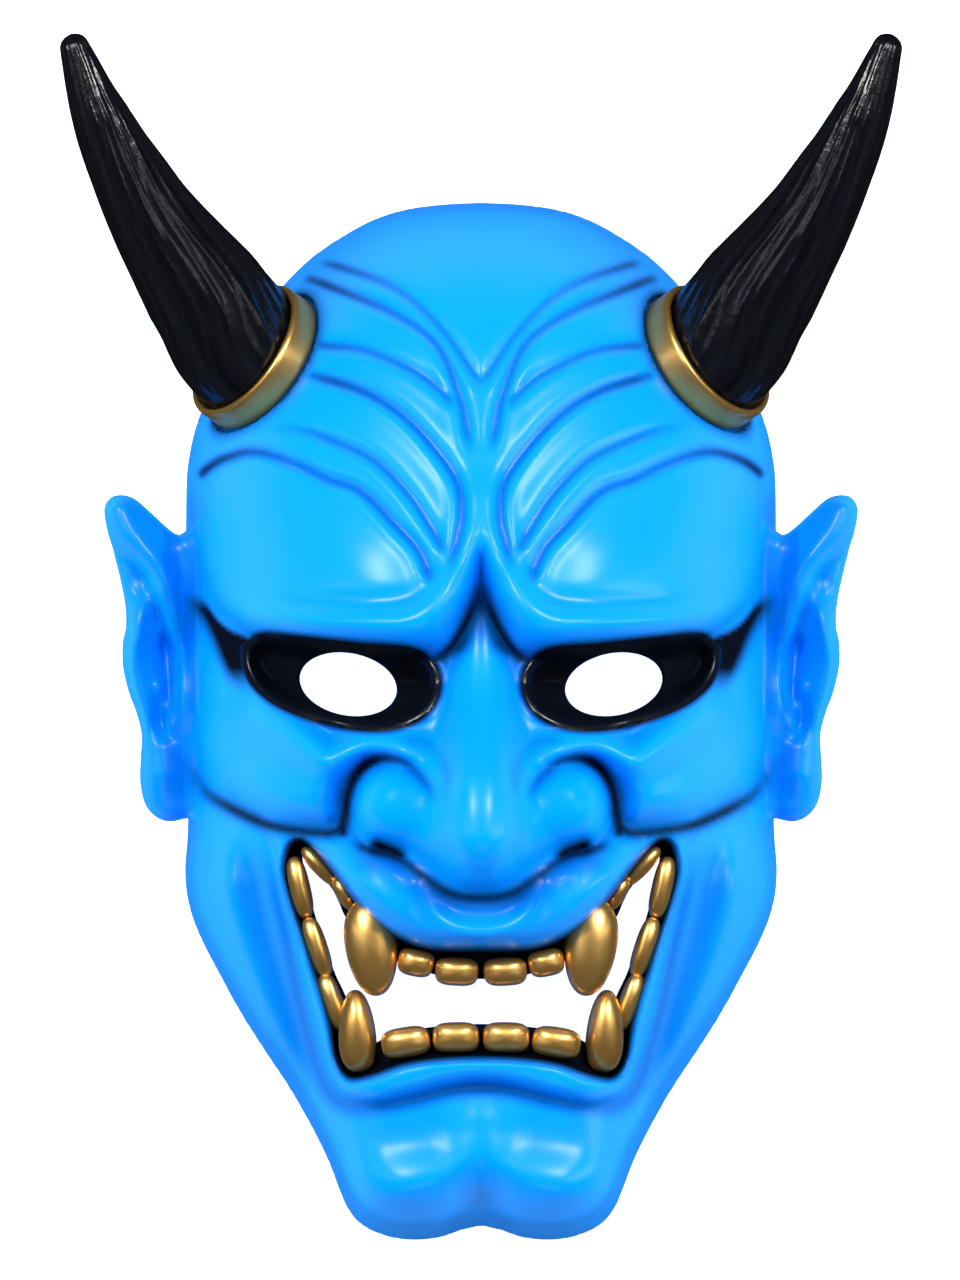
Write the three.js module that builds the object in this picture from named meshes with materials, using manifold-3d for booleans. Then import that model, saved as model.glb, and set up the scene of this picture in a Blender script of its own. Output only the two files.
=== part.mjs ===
// An oni mask: a horned demon face worn or hung on a wall, lying here on its back rim.
// Millimetres. +Z is the way the face looks, +Y points to the crown and +X to the reader's right.
import * as THREE from 'three';
import { mergeVertices } from 'three/addons/utils/BufferGeometryUtils.js';
import Module from 'manifold-3d';

const wasm = await Module();
wasm.setup();

// Driving dimensions.
const WALL = 3.5; // thickness of the moulded shell
const GAP = 0.35; // air between pieces that are set into one another
const SIDE_SLOPE = 12; // rise of the side walls for each millimetre inwards
const RIM_LAND = 1.2; // upright edge above the flat back rim
const GUM_DEPTH = 9; // the teeth stand in a channel this deep behind the lips
const EYE = { x: 33, y: -11.4, long: 12.2, short: 7.7, tilt: 0.19 };
const HORN_SEAT = { x: 53.5, y: 68, z: 37, radius: 19.4 }; // middle of the seat under a horn
const HORN_LEAN = { turn: 35, rise: 27 }; // degrees: above the X axis, and out of the XY plane
const BAND = { inner: 17.4, outer: 19, length: 8 };

// The outline of the face, right half, from the middle of the crown to the cleft of the chin.
const OUTLINE = [
  [0, 108.9], [10, 108.4], [19.6, 107], [28, 104.1], [38.4, 98.1], [45.8, 92.1],
  [53, 84], [60.5, 74], [66, 65], [69.8, 57], [72, 50], [73.4, 42],
  [73.7, 33], [73.7, 20], [73.6, 0], [73.4, -20], [73.2, -46], [73.9, -57],
  [73.5, -64], [72, -70], [69.5, -76], [64.8, -85], [59.8, -94], [54.1, -103],
  [48.1, -112], [42.9, -121], [38.4, -130], [35.5, -137.5], [33.6, -142], [31, -145.5],
  [27.3, -148], [22, -149.8], [16, -150.3], [10, -149.6], [5, -147.9], [0, -146.8],
];
const MIDDLE_Y = -10; // the outline is seen from this point on the middle line

// The lines of the carving, right half, as they run over the face.
const BROW_EDGE = [
  [78, 24.5], [70, 11], [63, 2.5], [52, -1], [41, -2.6], [31.5, -3.4], [24, -4], [17, -4.6], [12.5, -4.2],
  [8.4, -2.3], [5.4, 1], [3.2, 4.8], [1.5, 8.4], [0.6, 11.5], [0.1, 16], [-0.5, 22], [-3, 28],
];
const BROW_CREST = [
  [70, 11.5], [62, 6.5], [46, 4.2], [37.8, 3.5], [25, 3], [19.5, 3.6], [15.4, 5.3], [11.8, 8], [8.8, 11.4],
  [6.4, 15.2], [4.6, 19.4], [3.3, 23.6], [2.5, 28], [2.2, 36], [4, 44],
];
const PAD_EDGE = [[55, 9.2], [45, 8.9], [36, 9.1], [26, 9.3], [18, 10], [13.8, 12], [12.4, 15]];
const FOLDS = [
  // course, depth and half width of the crease, and the rise of the flesh above it
  {
    line: [[41, 95], [38, 93.5], [25, 89], [17, 84], [9, 76], [3, 67.5], [-1, 61.5]],
    cut: 2, wide: 2.8, rise: 0.5,
  },
  { line: [[45, 90.5], [33.5, 86], [21, 80.5], [11, 73], [5, 60.5], [3, 49.5]], cut: 2, wide: 2.7, rise: 1 },
  { line: [[42, 74.5], [28.5, 71.5], [17, 66.5], [10, 61.5], [6, 56.5]], cut: 2, wide: 2.7, rise: 1 },
  {
    line: [[44, 66], [29.5, 61.5], [19, 55], [10, 46], [5.5, 36.5], [4, 27.5]],
    cut: 2.6, wide: 2.9, rise: 1.5,
  },
  {
    line: [[55, 53.5], [45, 52], [36, 49.5], [27, 45], [17, 36.5], [11, 26.5], [8, 18]],
    cut: 2.2, wide: 2.7, rise: 1.2,
  },
  {
    line: [
      [71, 39.5], [68, 42.5], [63.5, 45], [56, 46.5], [46, 43.5],
      [36, 39.5], [28.5, 34.5], [21, 26.5], [12, 9.5],
    ],
    cut: 3, wide: 3, rise: 1.8,
  },
];
const EYE_RIM = [
  [58.6, -2.6], [54, 0], [45, -0.8], [30, -2.5], [18, -3.5], [13, -6.8], [11.7, -11], [12.9, -16],
  [16.6, -20.3], [23.5, -22.3], [33, -21.9], [42, -19.9], [50.2, -17], [56.5, -12.6], [58.9, -7.6],
];
const CHEEK_EDGE = [
  [83, -25.5], [73, -31.5], [70, -36.5], [65.5, -40.5], [54, -46], [43, -48], [36.4, -48], [34, -45],
  [33.6, -40], [32, -35], [28.8, -31.2], [24, -29.6], [19, -30],
];
const CHEEK_FOLD = [
  [61, -12.5], [55, -19], [46, -25], [39, -30], [34.5, -29.6], [30, -28], [25, -27.2], [20, -27.6], [15, -30],
  [11.6, -34.5], [9.8, -40.5],
];
const NOSTRIL = [[28.5, -50.6], [24.5, -51.7], [20.5, -53.4], [17, -56]];
const WING_CREASE = [
  [34.6, -50.5], [34, -45], [33, -38.5], [31, -34], [27.5, -30.6], [23.5, -29.8], [19, -30.8], [14.6, -34.8],
  [12.4, -38.6], [11.6, -42],
];
const NOSE_LINE = [
  [0, -20], [9, -22.5], [16, -27], [22, -31], [27.5, -33.2], [31, -38], [31.7, -43.5], [30.4, -47.8],
  [27.5, -50.5], [23, -52], [19, -53.7], [14, -57.8], [6.5, -61.5], [0, -62.5],
];
const UPPER_LIP = [
  [49, -47.5], [44, -52], [38, -57.5], [32, -64.5], [22, -73.5], [13, -77], [0, -77.5], [-13, -77],
];
const LIP_BORDER = [
  [56.5, -45], [55, -47.5], [53, -51.5], [50.5, -61.5], [48, -71.5], [44.5, -88], [41, -101.5], [38, -110],
  [34, -114.5], [26.5, -115.5], [18.5, -114], [9, -111.5], [0, -110.5], [-9, -111.5],
];
const GUM_LINE = [
  [0, -77.5], [13, -77], [22, -73.5], [28, -69], [32, -64.5], [37, -57.8], [41, -53], [44.5, -50],
  [47.5, -51.5], [48.8, -58], [46.8, -66.5], [44.6, -73], [42.2, -80.5], [39.8, -88], [37.4, -96.5],
  [36, -104], [33, -109.2], [27, -108.5], [20, -106], [11.5, -104.5], [0, -104],
];
const MOUTH_HOLE = [
  [0, -84.6], [6, -85], [12, -83.4], [20.6, -80.4], [27, -76], [33.2, -70], [35.4, -65.5], [37.4, -61.8],
  [41, -57.6], [44.4, -52.8], [44, -57], [42.4, -63.5], [41.2, -69], [38.6, -76.3], [36.4, -83],
  [33.6, -89], [30.5, -97], [27.5, -100.8], [24.5, -99.6], [19, -97.8], [11.8, -96.5], [0, -95.8],
];
const JAW_CREST = [
  [64, -44], [65, -53], [63, -65.5], [59, -80.5], [53, -95.5], [46, -109], [40, -120.5], [33, -130.5],
];
const CHIN_HOLLOW = [[30, -123], [24, -120.5], [17, -118.6], [9, -117], [3, -116]];
const LIP_ROLL = [
  [33, -50], [33, -54], [32, -58], [27, -62.4], [22, -67.2], [16.5, -71.6], [9, -74], [0, -74.8], [-9, -74],
];
const LIP_VALLEY = [[27, -55.5], [23, -57.5], [18, -60], [13, -63.2], [7, -66], [0, -67], [-7, -66]];

// Small tools.
function clamp01(t) {
  return Math.min(Math.max(t, 0), 1);
}

function ease(t) {
  const u = clamp01(t);
  return u * u * (3 - 2 * u);
}

// The larger of two heights, with the valley between them filled to a soft radius.
function blend(a, b, soft) {
  const h = clamp01(0.5 + (0.5 * (a - b)) / soft);
  return a * h + b * (1 - h) + soft * h * (1 - h);
}

// A value read smoothly from a short list of [position, value] pairs.
function between(list, at) {
  let i = 0;
  while (i < list.length - 2 && at > list[i + 1][0]) i += 1;
  const [x0, v0] = list[i];
  const [x1, v1] = list[i + 1];
  return v0 + (v1 - v0) * ease((at - x0) / (x1 - x0));
}

// A smooth line through the given points, with its running length for lookups.
function lineThrough(points, closed = false) {
  const corners = points.map(([x, y]) => new THREE.Vector3(x, y, 0));
  const curve = new THREE.CatmullRomCurve3(corners, closed, 'catmullrom', 0.5);
  const dots = curve.getPoints(points.length * 6);
  const run = [0];
  for (let i = 1; i < dots.length; i += 1) run.push(run[i - 1] + dots[i].distanceTo(dots[i - 1]));
  const box = new THREE.Box2().setFromPoints(dots);
  return { dots, run, box };
}

// The whole ring from its right half, which starts and ends on the middle line.
function bothHalves(points) {
  const left = points.slice(1, -1).reverse().map(([x, y]) => [-x, y]);
  return [...points, ...left];
}

// Distance from a point to a line: positive above it, for a line that runs towards the middle.
// t is how far along the line its nearest point lies. Beyond reach nothing is returned.
function near(line, x, y, reach = 1e6) {
  const { dots, run, box } = line;
  if (x < box.min.x - reach || x > box.max.x + reach) return null;
  if (y < box.min.y - reach || y > box.max.y + reach) return null;
  let best = 1e12;
  let side = 1;
  let t = 0;
  for (let i = 0; i + 1 < dots.length; i += 1) {
    const dx = dots[i + 1].x - dots[i].x;
    const dy = dots[i + 1].y - dots[i].y;
    const u = clamp01(((x - dots[i].x) * dx + (y - dots[i].y) * dy) / (dx * dx + dy * dy + 1e-12));
    const ex = x - dots[i].x - u * dx;
    const ey = y - dots[i].y - u * dy;
    const d = ex * ex + ey * ey;
    if (d < best) {
      best = d;
      side = dx * ey - dy * ex > 0 ? -1 : 1;
      t = (run[i] + u * (run[i + 1] - run[i])) / run[run.length - 1];
    }
  }
  return { d: Math.sqrt(best) * side, t };
}

// True inside a closed ring.
function within(ring, x, y) {
  let inside = false;
  for (let i = 0, j = ring.length - 1; i < ring.length; j = i, i += 1) {
    const a = ring[i];
    const b = ring[j];
    if (a.y > y !== b.y > y && x < ((b.x - a.x) * (y - a.y)) / (b.y - a.y) + a.x) inside = !inside;
  }
  return inside;
}

// A hump that is 1 in the middle and fades away beyond a distance of 1.
function bump(u) {
  return Math.exp(-u * u);
}

// A raised line that fades out at both ends.
function ridge(line, x, y, height, width, fade = 0.2) {
  const n = near(line, x, y, width * 3);
  if (!n) return 0;
  const ends = ease(n.t / fade) * ease((1 - n.t) / fade);
  return height * ends * Math.exp(-((n.d / width) ** 2));
}

// The drop of a rounded border: none at `radius` inside it, the whole depth outside.
function rollOff(d, radius, depth) {
  const t = clamp01(d / radius);
  return -depth * (1 - Math.sqrt(1 - (1 - t) ** 2));
}

// The top of an egg lying in the face, as a height. It falls away steeply outside it.
function egg(x, y, [cx, cy, cz], [rx, ry, rz]) {
  const q = 1 - ((x - cx) / rx) ** 2 - ((y - cy) / ry) ** 2;
  return q > 0 ? cz + rz * Math.sqrt(q) : cz - 60 * Math.min(-q, 3);
}

// The outline as a distance from the middle, by direction.
const outlineRing = lineThrough(OUTLINE).dots;
const outlineByAngle = outlineRing.map((p) => {
  const out = new THREE.Vector2(p.x, p.y - MIDDLE_Y);
  return [Math.atan2(out.x, out.y), out.length()];
});

function outlineRadius(angle) {
  const a = Math.abs(angle);
  let i = 0;
  while (i < outlineByAngle.length - 2 && a > outlineByAngle[i + 1][0]) i += 1;
  const [a0, r0] = outlineByAngle[i];
  const [a1, r1] = outlineByAngle[i + 1];
  return r0 + ((r1 - r0) * (a - a0)) / (a1 - a0);
}

const carving = {
  brow: lineThrough(BROW_EDGE),
  crest: lineThrough(BROW_CREST),
  pad: lineThrough(PAD_EDGE),
  folds: FOLDS.map((fold) => ({ ...fold, line: lineThrough(fold.line) })),
  eyeRim: lineThrough(EYE_RIM, true),
  cheek: lineThrough(CHEEK_EDGE),
  cheekFold: lineThrough(CHEEK_FOLD),
  nostril: lineThrough(NOSTRIL),
  wing: lineThrough(WING_CREASE),
  nose: lineThrough(bothHalves(NOSE_LINE), true),
  upperLip: lineThrough(UPPER_LIP),
  lipRoll: lineThrough(LIP_ROLL),
  lipValley: lineThrough(LIP_VALLEY),
  lipBorder: lineThrough(LIP_BORDER),
  gums: lineThrough(bothHalves(GUM_LINE), true),
  jaw: lineThrough(JAW_CREST),
  hollow: lineThrough(CHIN_HOLLOW),
};

// The nose: two round wings on a pillow, and a bridge that swells into the tip between them.
function noseHeight(x, y) {
  const n = near(carving.nose, x, y);
  const d = within(carving.nose.dots, x, y) ? Math.abs(n.d) : -Math.abs(n.d);
  let pillow = 85 + rollOff(d, 12, 13) + 12 * Math.min(d, 0);
  pillow += 5 * bump(Math.hypot((x - 15.5) / 7, (y + 49) / 6));
  const s = Math.hypot((x - 20.3) / 11.7, (y + 41.2) / 11.6);
  const ball = 58 + 30 * (1 - Math.min(s, 1) ** 2.7) ** (1 / 2.7) - 60 * Math.max(s - 1, 0);
  const wings = blend(pillow, ball, 5);
  const crest = between([
    [-66, 92], [-60, 98], [-54, 101.2], [-49, 102.3], [-43, 101.2], [-36, 98], [-28, 92], [-20, 86],
    [-12, 80.5], [-3, 76.5], [5, 75], [16, 73],
  ], y);
  const width = between([[-60, 12], [-44, 13.5], [-20, 11.5], [5, 10], [16, 9]], y);
  let bridge = crest - 19 * (1 - Math.exp(-((x / width) ** 2.5)));
  bridge -= 50 * ease((x - 1.2 * width) / (1.5 * width));
  bridge += ease((-34 - y) / 14) * (rollOff(d, 9, 15) + 12 * Math.min(d, 0));
  bridge -= 60 * ease((y - 14) / 26);
  return blend(wings, bridge, 7) - ridge(carving.wing, x, y, 2.4, 1.6, 0.15);
}

// The front of the face as a height over the back rim.
function faceHeight(px, y) {
  const x = Math.abs(px);
  const radius = outlineRadius(Math.atan2(x, y - MIDDLE_Y));
  const reach = Math.min(Math.hypot(x, y - MIDDLE_Y) / radius, 1);
  // A dome over the outline: `top` is its height, and a higher power makes a flatter front.
  const dome = (top, power) => top * (1 - reach ** power) ** (1 / power);

  // jaw and chin
  const power = between([[-150, 5], [-130, 4.4], [-100, 3.3], [-60, 2.7], [-20, 2.4]], y);
  const jawTop = [[-150, 79], [-138, 81], [-125, 75.5], [-112, 71.5], [-72, 70], [-30, 66], [0, 64]];
  let height = dome(between(jawTop, y), power);
  height += ridge(carving.jaw, x, y, 3.2, 6);
  height -= ridge(carving.hollow, x, y, 3.4, 6, 0.4);
  height += 2.6 * bump(x / 5) * ease((-110 - y) / 8) * ease((y + 134) / 12);
  height += 2.6 * bump(Math.hypot((x - 18) / 19, (y + 138) / 13));
  height -= 5 * bump(x / 6) * ease((-y - 136) / 10);

  // the lip round the lower jaw
  const border = near(carving.lipBorder, x, y);
  let lip = dome(between([[-115, 81], [-95, 79], [-72, 76], [-50, 72]], y), power);
  lip += rollOff(border.d, 4.5, 9) + 6 * Math.min(border.d, 0);
  height = blend(height, lip, 1.5);

  // cheek, with its heavy lower edge
  const cheekEdge = near(carving.cheek, x, y);
  let cheek = dome(between([[-60, 76], [-48, 80], [-35, 82], [-22, 79], [-10, 72]], y), 2.35);
  cheek += rollOff(cheekEdge.d, 9, 17) * ease((1 - cheekEdge.t) / 0.16);
  cheek -= 18 * ease((y + 14) / 16) * ease((66 - x) / 8);
  height = blend(height, cheek, 2);

  // muzzle between nose and teeth
  const lipEdge = near(carving.upperLip, x, y);
  let muzzle = egg(x, y, [0, -60, 52], [47, 25, 32]);
  muzzle += rollOff(lipEdge.d, 5, 7) + 6 * Math.min(lipEdge.d, 0);
  muzzle += ridge(carving.lipRoll, x, y, 2.2, 3.2, 0.1) - ridge(carving.lipValley, x, y, 3.4, 3.6);
  height = blend(height, muzzle, 3);

  // the fold from the outer corner of the eye round the wing of the nose, and the nostril under it
  height += ridge(carving.cheekFold, x, y, 3.5, 4, 0.12);
  height = blend(height, noseHeight(x, y), 2.5);
  height -= ridge(carving.nostril, x, y, 5, 2, 0.35);

  // eye socket and the channel that holds the teeth
  const rim = near(carving.eyeRim, x, y, 20);
  if (rim) {
    const deep = within(carving.eyeRim.dots, x, y) ? Math.abs(rim.d) : 0;
    height += Math.exp(-((rim.d / 1.3) ** 2)) - 5 * ease(deep / 3.5);
  }
  const gum = near(carving.gums, x, y, 6);
  const inGum = within(carving.gums.dots, x, y);
  if (gum || inGum) height -= GUM_DEPTH * ease(((inGum ? 1 : -1) * Math.abs(gum.d) + 1.4) / 2.2);

  // forehead and brow, laid over everything
  let brow = dome(between([[-5, 88], [5, 88], [20, 85], [40, 83], [60, 82]], y), 2.35);
  brow += ridge(carving.crest, x, y, 4.5, 5, 0.07);
  brow -= ridge(carving.pad, x, y, 1.2, 2.6);
  brow += 3 * Math.exp(-(((x - 29) / 22) ** 2) - ((y - 20) / 15) ** 2);
  for (const fold of carving.folds) {
    const n = near(fold.line, x, y, 14);
    if (n) {
      const ends = ease(n.t / 0.12) * ease((1 - n.t) / 0.1);
      brow -= fold.cut * ends * Math.exp(-((n.d / fold.wide) ** 2));
      brow += fold.rise * ends * Math.exp(-(((n.d - 5) / 3.5) ** 2));
    }
  }
  // its lower edge, which runs out in the crease between the two brows
  const browEdge = near(carving.brow, x, y);
  const hang = 1 - ease((y - 8) / 20) * (1 - ease((x - 6) / 8));
  brow += (rollOff(browEdge.d, 10, 16) + 12 * Math.min(browEdge.d, 0)) * hang;
  brow -= 2.5 * bump(x / 2.5) * ease(y / 8) * ease((34 - y) / 16);
  height = blend(height, brow, 1.2);

  return Math.min(height, SIDE_SLOPE * (1 - reach) * radius);
}

// The same height kept on a fine grid, for looking at a point's surroundings.
const grid = { step: 1, x0: -80, y0: -156, nx: 161, ny: 271, z: [] };
for (let j = 0; j < grid.ny; j += 1) {
  for (let i = 0; i < grid.nx; i += 1) {
    grid.z.push(faceHeight(grid.x0 + i * grid.step, grid.y0 + j * grid.step));
  }
}

function gridHeight(x, y) {
  const fx = THREE.MathUtils.clamp((x - grid.x0) / grid.step, 0, grid.nx - 1.001);
  const fy = THREE.MathUtils.clamp((y - grid.y0) / grid.step, 0, grid.ny - 1.001);
  const i = Math.floor(fx);
  const j = Math.floor(fy);
  const at = (a, b) => grid.z[(j + b) * grid.nx + i + a];
  const u = fx - i;
  const v = fy - j;
  return (at(0, 0) * (1 - u) + at(1, 0) * u) * (1 - v) + (at(0, 1) * (1 - u) + at(1, 1) * u) * v;
}

// The inside is plainer than the front: a ball of this radius, rolled under the front, leaves it
// behind, so that narrow folds are filled and no wall is thinner than WALL.
const INSIDE_BALL = 5;
function insideHeight(x, y) {
  let low = 1e9;
  for (let ring = 0; ring <= 4; ring += 1) {
    const r = (INSIDE_BALL * ring) / 4;
    const drop = Math.sqrt(Math.max(INSIDE_BALL ** 2 - r * r, 0));
    const count = ring === 0 ? 1 : 14;
    for (let k = 0; k < count; k += 1) {
      const a = (2 * Math.PI * k) / count;
      low = Math.min(low, gridHeight(x + r * Math.cos(a), y + r * Math.sin(a)) - drop);
    }
  }
  return low + INSIDE_BALL - WALL;
}

// Solids.
// A geometry as a closed solid. One whose faces look inwards is turned right way out.
function toSolid(geometry) {
  const bare = new THREE.BufferGeometry();
  bare.setAttribute('position', geometry.getAttribute('position'));
  if (geometry.index) bare.setIndex(geometry.index);
  const merged = mergeVertices(bare, 1e-4);
  const mesh = {
    numProp: 3,
    vertProperties: new Float32Array(merged.attributes.position.array),
    triVerts: new Uint32Array(merged.index.array),
  };
  const solid = new wasm.Manifold(new wasm.Mesh(mesh));
  if (solid.volume() > 0) return solid;
  mesh.triVerts.reverse();
  return new wasm.Manifold(new wasm.Mesh(mesh));
}

function toGeometry(solid) {
  const mesh = solid.getMesh();
  const geometry = new THREE.BufferGeometry();
  geometry.setAttribute('position', new THREE.BufferAttribute(new Float32Array(mesh.vertProperties), 3));
  geometry.setIndex(new THREE.BufferAttribute(new Uint32Array(mesh.triVerts), 1));
  geometry.computeVertexNormals();
  return geometry;
}

function solidFrom(points, triangles) {
  const geometry = new THREE.BufferGeometry();
  geometry.setAttribute('position', new THREE.Float32BufferAttribute(points.flat(), 3));
  geometry.setIndex(triangles.flat());
  return toSolid(geometry);
}

// A block between the plane z = floor and a height over the outline, drawn in by `inset`.
// Its top is cut into ever smaller triangles only where it bends by more than `fine`.
function blockUnder(heightAt, inset, floor, cells, fine) {
  const side = cells + 1;
  const spots = [];
  for (let j = 0; j <= cells; j += 1) {
    for (let i = 0; i <= cells; i += 1) {
      const a = (2 * i) / cells - 1;
      const b = (2 * j) / cells - 1;
      // The square is drawn into a disc, and the disc into the outline, denser towards the rim.
      const u = a * Math.sqrt(1 - (b * b) / 2);
      const v = b * Math.sqrt(1 - (a * a) / 2);
      const out = Math.max(Math.abs(a), Math.abs(b)) === 1 ? 1 : Math.hypot(u, v);
      const angle = Math.atan2(u, v);
      const share = 1 - (1 - out) ** 1.35;
      const r = share * (outlineRadius(angle) - inset);
      const x = r * Math.sin(angle);
      const y = MIDDLE_Y + r * Math.cos(angle);
      spots.push([x, y, floor + RIM_LAND + Math.max(out === 1 ? 0 : heightAt(x, y), 0)]);
    }
  }
  const id = (i, j) => j * side + i;
  const split = ([ax, ay, bx, by, cx, cy]) => {
    const mx = (ax + bx) / 2;
    const my = (ay + by) / 2;
    return [
      [cx, cy, ax, ay, mx, my],
      [bx, by, cx, cy, mx, my],
    ];
  };
  // Two halves of the square, then every half of a half down to single cells.
  const levels = [[[0, 0, cells, cells, cells, 0], [cells, cells, 0, 0, 0, cells]]];
  const hasMiddle = ([ax, ay, bx, by]) => (ax + bx) % 2 === 0 && (ay + by) % 2 === 0;
  let next = levels[0];
  while (next.every(hasMiddle)) {
    if (next !== levels[0]) levels.push(next);
    next = next.flatMap(split);
  }
  const bend = new Float32Array(side * side);
  const middle = ([ax, ay, bx, by]) => id((ax + bx) / 2, (ay + by) / 2);
  for (const level of [...levels].reverse()) {
    for (const tri of level) {
      const m = middle(tri);
      const p = new THREE.Vector3(...spots[id(tri[0], tri[1])]);
      const q = new THREE.Vector3(...spots[id(tri[2], tri[3])]);
      const s = new THREE.Vector3(...spots[m]);
      const foot = new THREE.Line3(p, q).closestPointToPoint(s, true, new THREE.Vector3());
      bend[m] = Math.max(bend[m], foot.distanceTo(s));
      if (level !== levels.at(-1)) {
        for (const half of split(tri)) bend[m] = Math.max(bend[m], bend[middle(half)]);
      }
    }
  }
  const top = [];
  const cut = (tri, depth) => {
    if (depth < levels.length && bend[middle(tri)] > fine) {
      for (const half of split(tri)) cut(half, depth + 1);
    } else {
      top.push([id(tri[0], tri[1]), id(tri[4], tri[5]), id(tri[2], tri[3])]);
    }
  };
  for (const tri of levels[0]) cut(tri, 0);

  // The underside repeats the top on the floor plane, and a skirt joins the two.
  const points = [...spots, ...spots.map(([x, y]) => [x, y, floor])];
  const under = spots.length;
  const triangles = [];
  const edges = new Map();
  for (const [a, b, c] of top) {
    triangles.push([a, c, b], [a + under, b + under, c + under]);
    for (const [p, q] of [[a, c], [c, b], [b, a]]) {
      const back = `${q},${p}`;
      if (edges.has(back)) edges.delete(back);
      else edges.set(`${p},${q}`, [p, q]);
    }
  }
  for (const [p, q] of edges.values()) triangles.push([p, p + under, q], [q, p + under, q + under]);
  return solidFrom(points, triangles);
}

// A prism that stands across the whole depth of the mask.
function prism(ring, low, high) {
  const shape = new THREE.Shape(ring.map(([x, y]) => new THREE.Vector2(x, y)));
  const geometry = new THREE.ExtrudeGeometry(shape, { depth: high - low, bevelEnabled: false });
  geometry.translate(0, 0, low);
  return toSolid(geometry);
}

// Rings of points joined into a closed skin, with a fan over each end.
function skin(rings) {
  const points = rings.flat();
  const count = rings[0].length;
  const triangles = [];
  for (let j = 0; j + 1 < rings.length; j += 1) {
    for (let i = 0; i < count; i += 1) {
      const a = j * count + i;
      const b = j * count + ((i + 1) % count);
      triangles.push([a, b, b + count], [a, b + count, a + count]);
    }
  }
  const last = (rings.length - 1) * count;
  for (let i = 1; i + 1 < count; i += 1) {
    triangles.push([0, i + 1, i], [last, last + i, last + i + 1]);
  }
  return { points, triangles };
}

// Ear: a leaf with a rolled edge, its cup open to the front.
const EAR_OUTER = [
  [35.6, 88], [34.4, 93], [31, 94.2], [25, 93.5], [17, 91.2], [10, 89.4], [4, 88.8], [-5, 89.9],
  [-12, 88.7], [-20, 86.2], [-29, 85.1], [-38, 85.2], [-43, 83.4], [-45.6, 79],
];
function earHalf() {
  const rings = [];
  for (const [y, outer] of EAR_OUTER) {
    const drop = Math.max(0, 26 - y) * 0.09; // the ear lies a little lower towards the lobe
    const inner = between([[-46, 69.5], [20, 69.5], [27, 75], [35.6, 84.5]], y);
    const root = 27 - drop;
    const thick = between([[-46, 4], [-40, 9], [0, 9], [28, 8], [35.6, 3]], y);
    const wide = outer - inner;
    const cup = between([[-46, 0], [-26, 1], [-12, 5], [6, 6], [22, 4], [32, 0]], y);
    const ring = [];
    const across = [0, 0.3, 0.6, 0.8, 0.93, 1];
    for (const u of across) {
      const edge = Math.sqrt(Math.max(1 - u ** 4, 0));
      const roll = Math.exp(-(((u - 0.84) / 0.17) ** 2));
      const front = root + thick * (0.25 + 0.75 * edge) + 3.4 * roll * edge;
      ring.push([inner + wide * u, y, front - cup * Math.sin(Math.PI * Math.min(u / 0.72, 1)) * edge]);
    }
    for (const u of [...across].reverse().slice(1)) {
      const edge = Math.sqrt(Math.max(1 - u ** 4, 0));
      ring.push([inner + wide * u, y, root - thick * 0.75 * edge - cup * 0.4 * edge]);
    }
    rings.push(ring);
  }
  const { points, triangles } = skin(rings);
  return { points, triangles };
}

function mirrored({ points, triangles }) {
  return { points: points.map(([x, y, z]) => [-x, y, z]), triangles };
}

// Horn, its band and its seat, for one side (1 right, -1 left).
const lean = THREE.MathUtils.degToRad(HORN_LEAN.rise);
const turn = THREE.MathUtils.degToRad(HORN_LEAN.turn);
function hornAxes(side) {
  const out = new THREE.Vector3(
    side * Math.cos(lean) * Math.cos(turn),
    Math.cos(lean) * Math.sin(turn),
    Math.sin(lean),
  );
  const base = new THREE.Vector3(side * HORN_SEAT.x, HORN_SEAT.y, HORN_SEAT.z);
  return { out, base };
}

// A round bar or ring about the horn's seat, between two distances along its axis.
function barrel(side, inner, outer, from, to, segments = 40) {
  const { out, base } = hornAxes(side);
  const profile = [
    new THREE.Vector2(inner, from), new THREE.Vector2(outer, from),
    new THREE.Vector2(outer, to), new THREE.Vector2(inner, to),
  ];
  if (inner > 0) profile.push(new THREE.Vector2(inner, from));
  const geometry = new THREE.LatheGeometry(profile, segments);
  geometry.applyQuaternion(new THREE.Quaternion().setFromUnitVectors(new THREE.Vector3(0, 1, 0), out));
  geometry.translate(base.x, base.y, base.z);
  return toSolid(geometry);
}

// The band is bulged a little between its two edges.
function band(side) {
  const { out, base } = hornAxes(side);
  const profile = [new THREE.Vector2(BAND.inner, GAP)];
  for (let i = 0; i <= 3; i += 1) {
    const t = i / 3;
    const swell = Math.sin(Math.PI * t) ** 0.6 * 0.7;
    profile.push(new THREE.Vector2(BAND.outer - 0.7 + swell, GAP + (BAND.length - GAP) * t));
  }
  profile.push(new THREE.Vector2(BAND.inner, BAND.length), new THREE.Vector2(BAND.inner, GAP));
  const geometry = new THREE.LatheGeometry(profile, 26);
  geometry.applyQuaternion(new THREE.Quaternion().setFromUnitVectors(new THREE.Vector3(0, 1, 0), out));
  geometry.translate(base.x, base.y, base.z);
  return toSolid(geometry);
}

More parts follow.
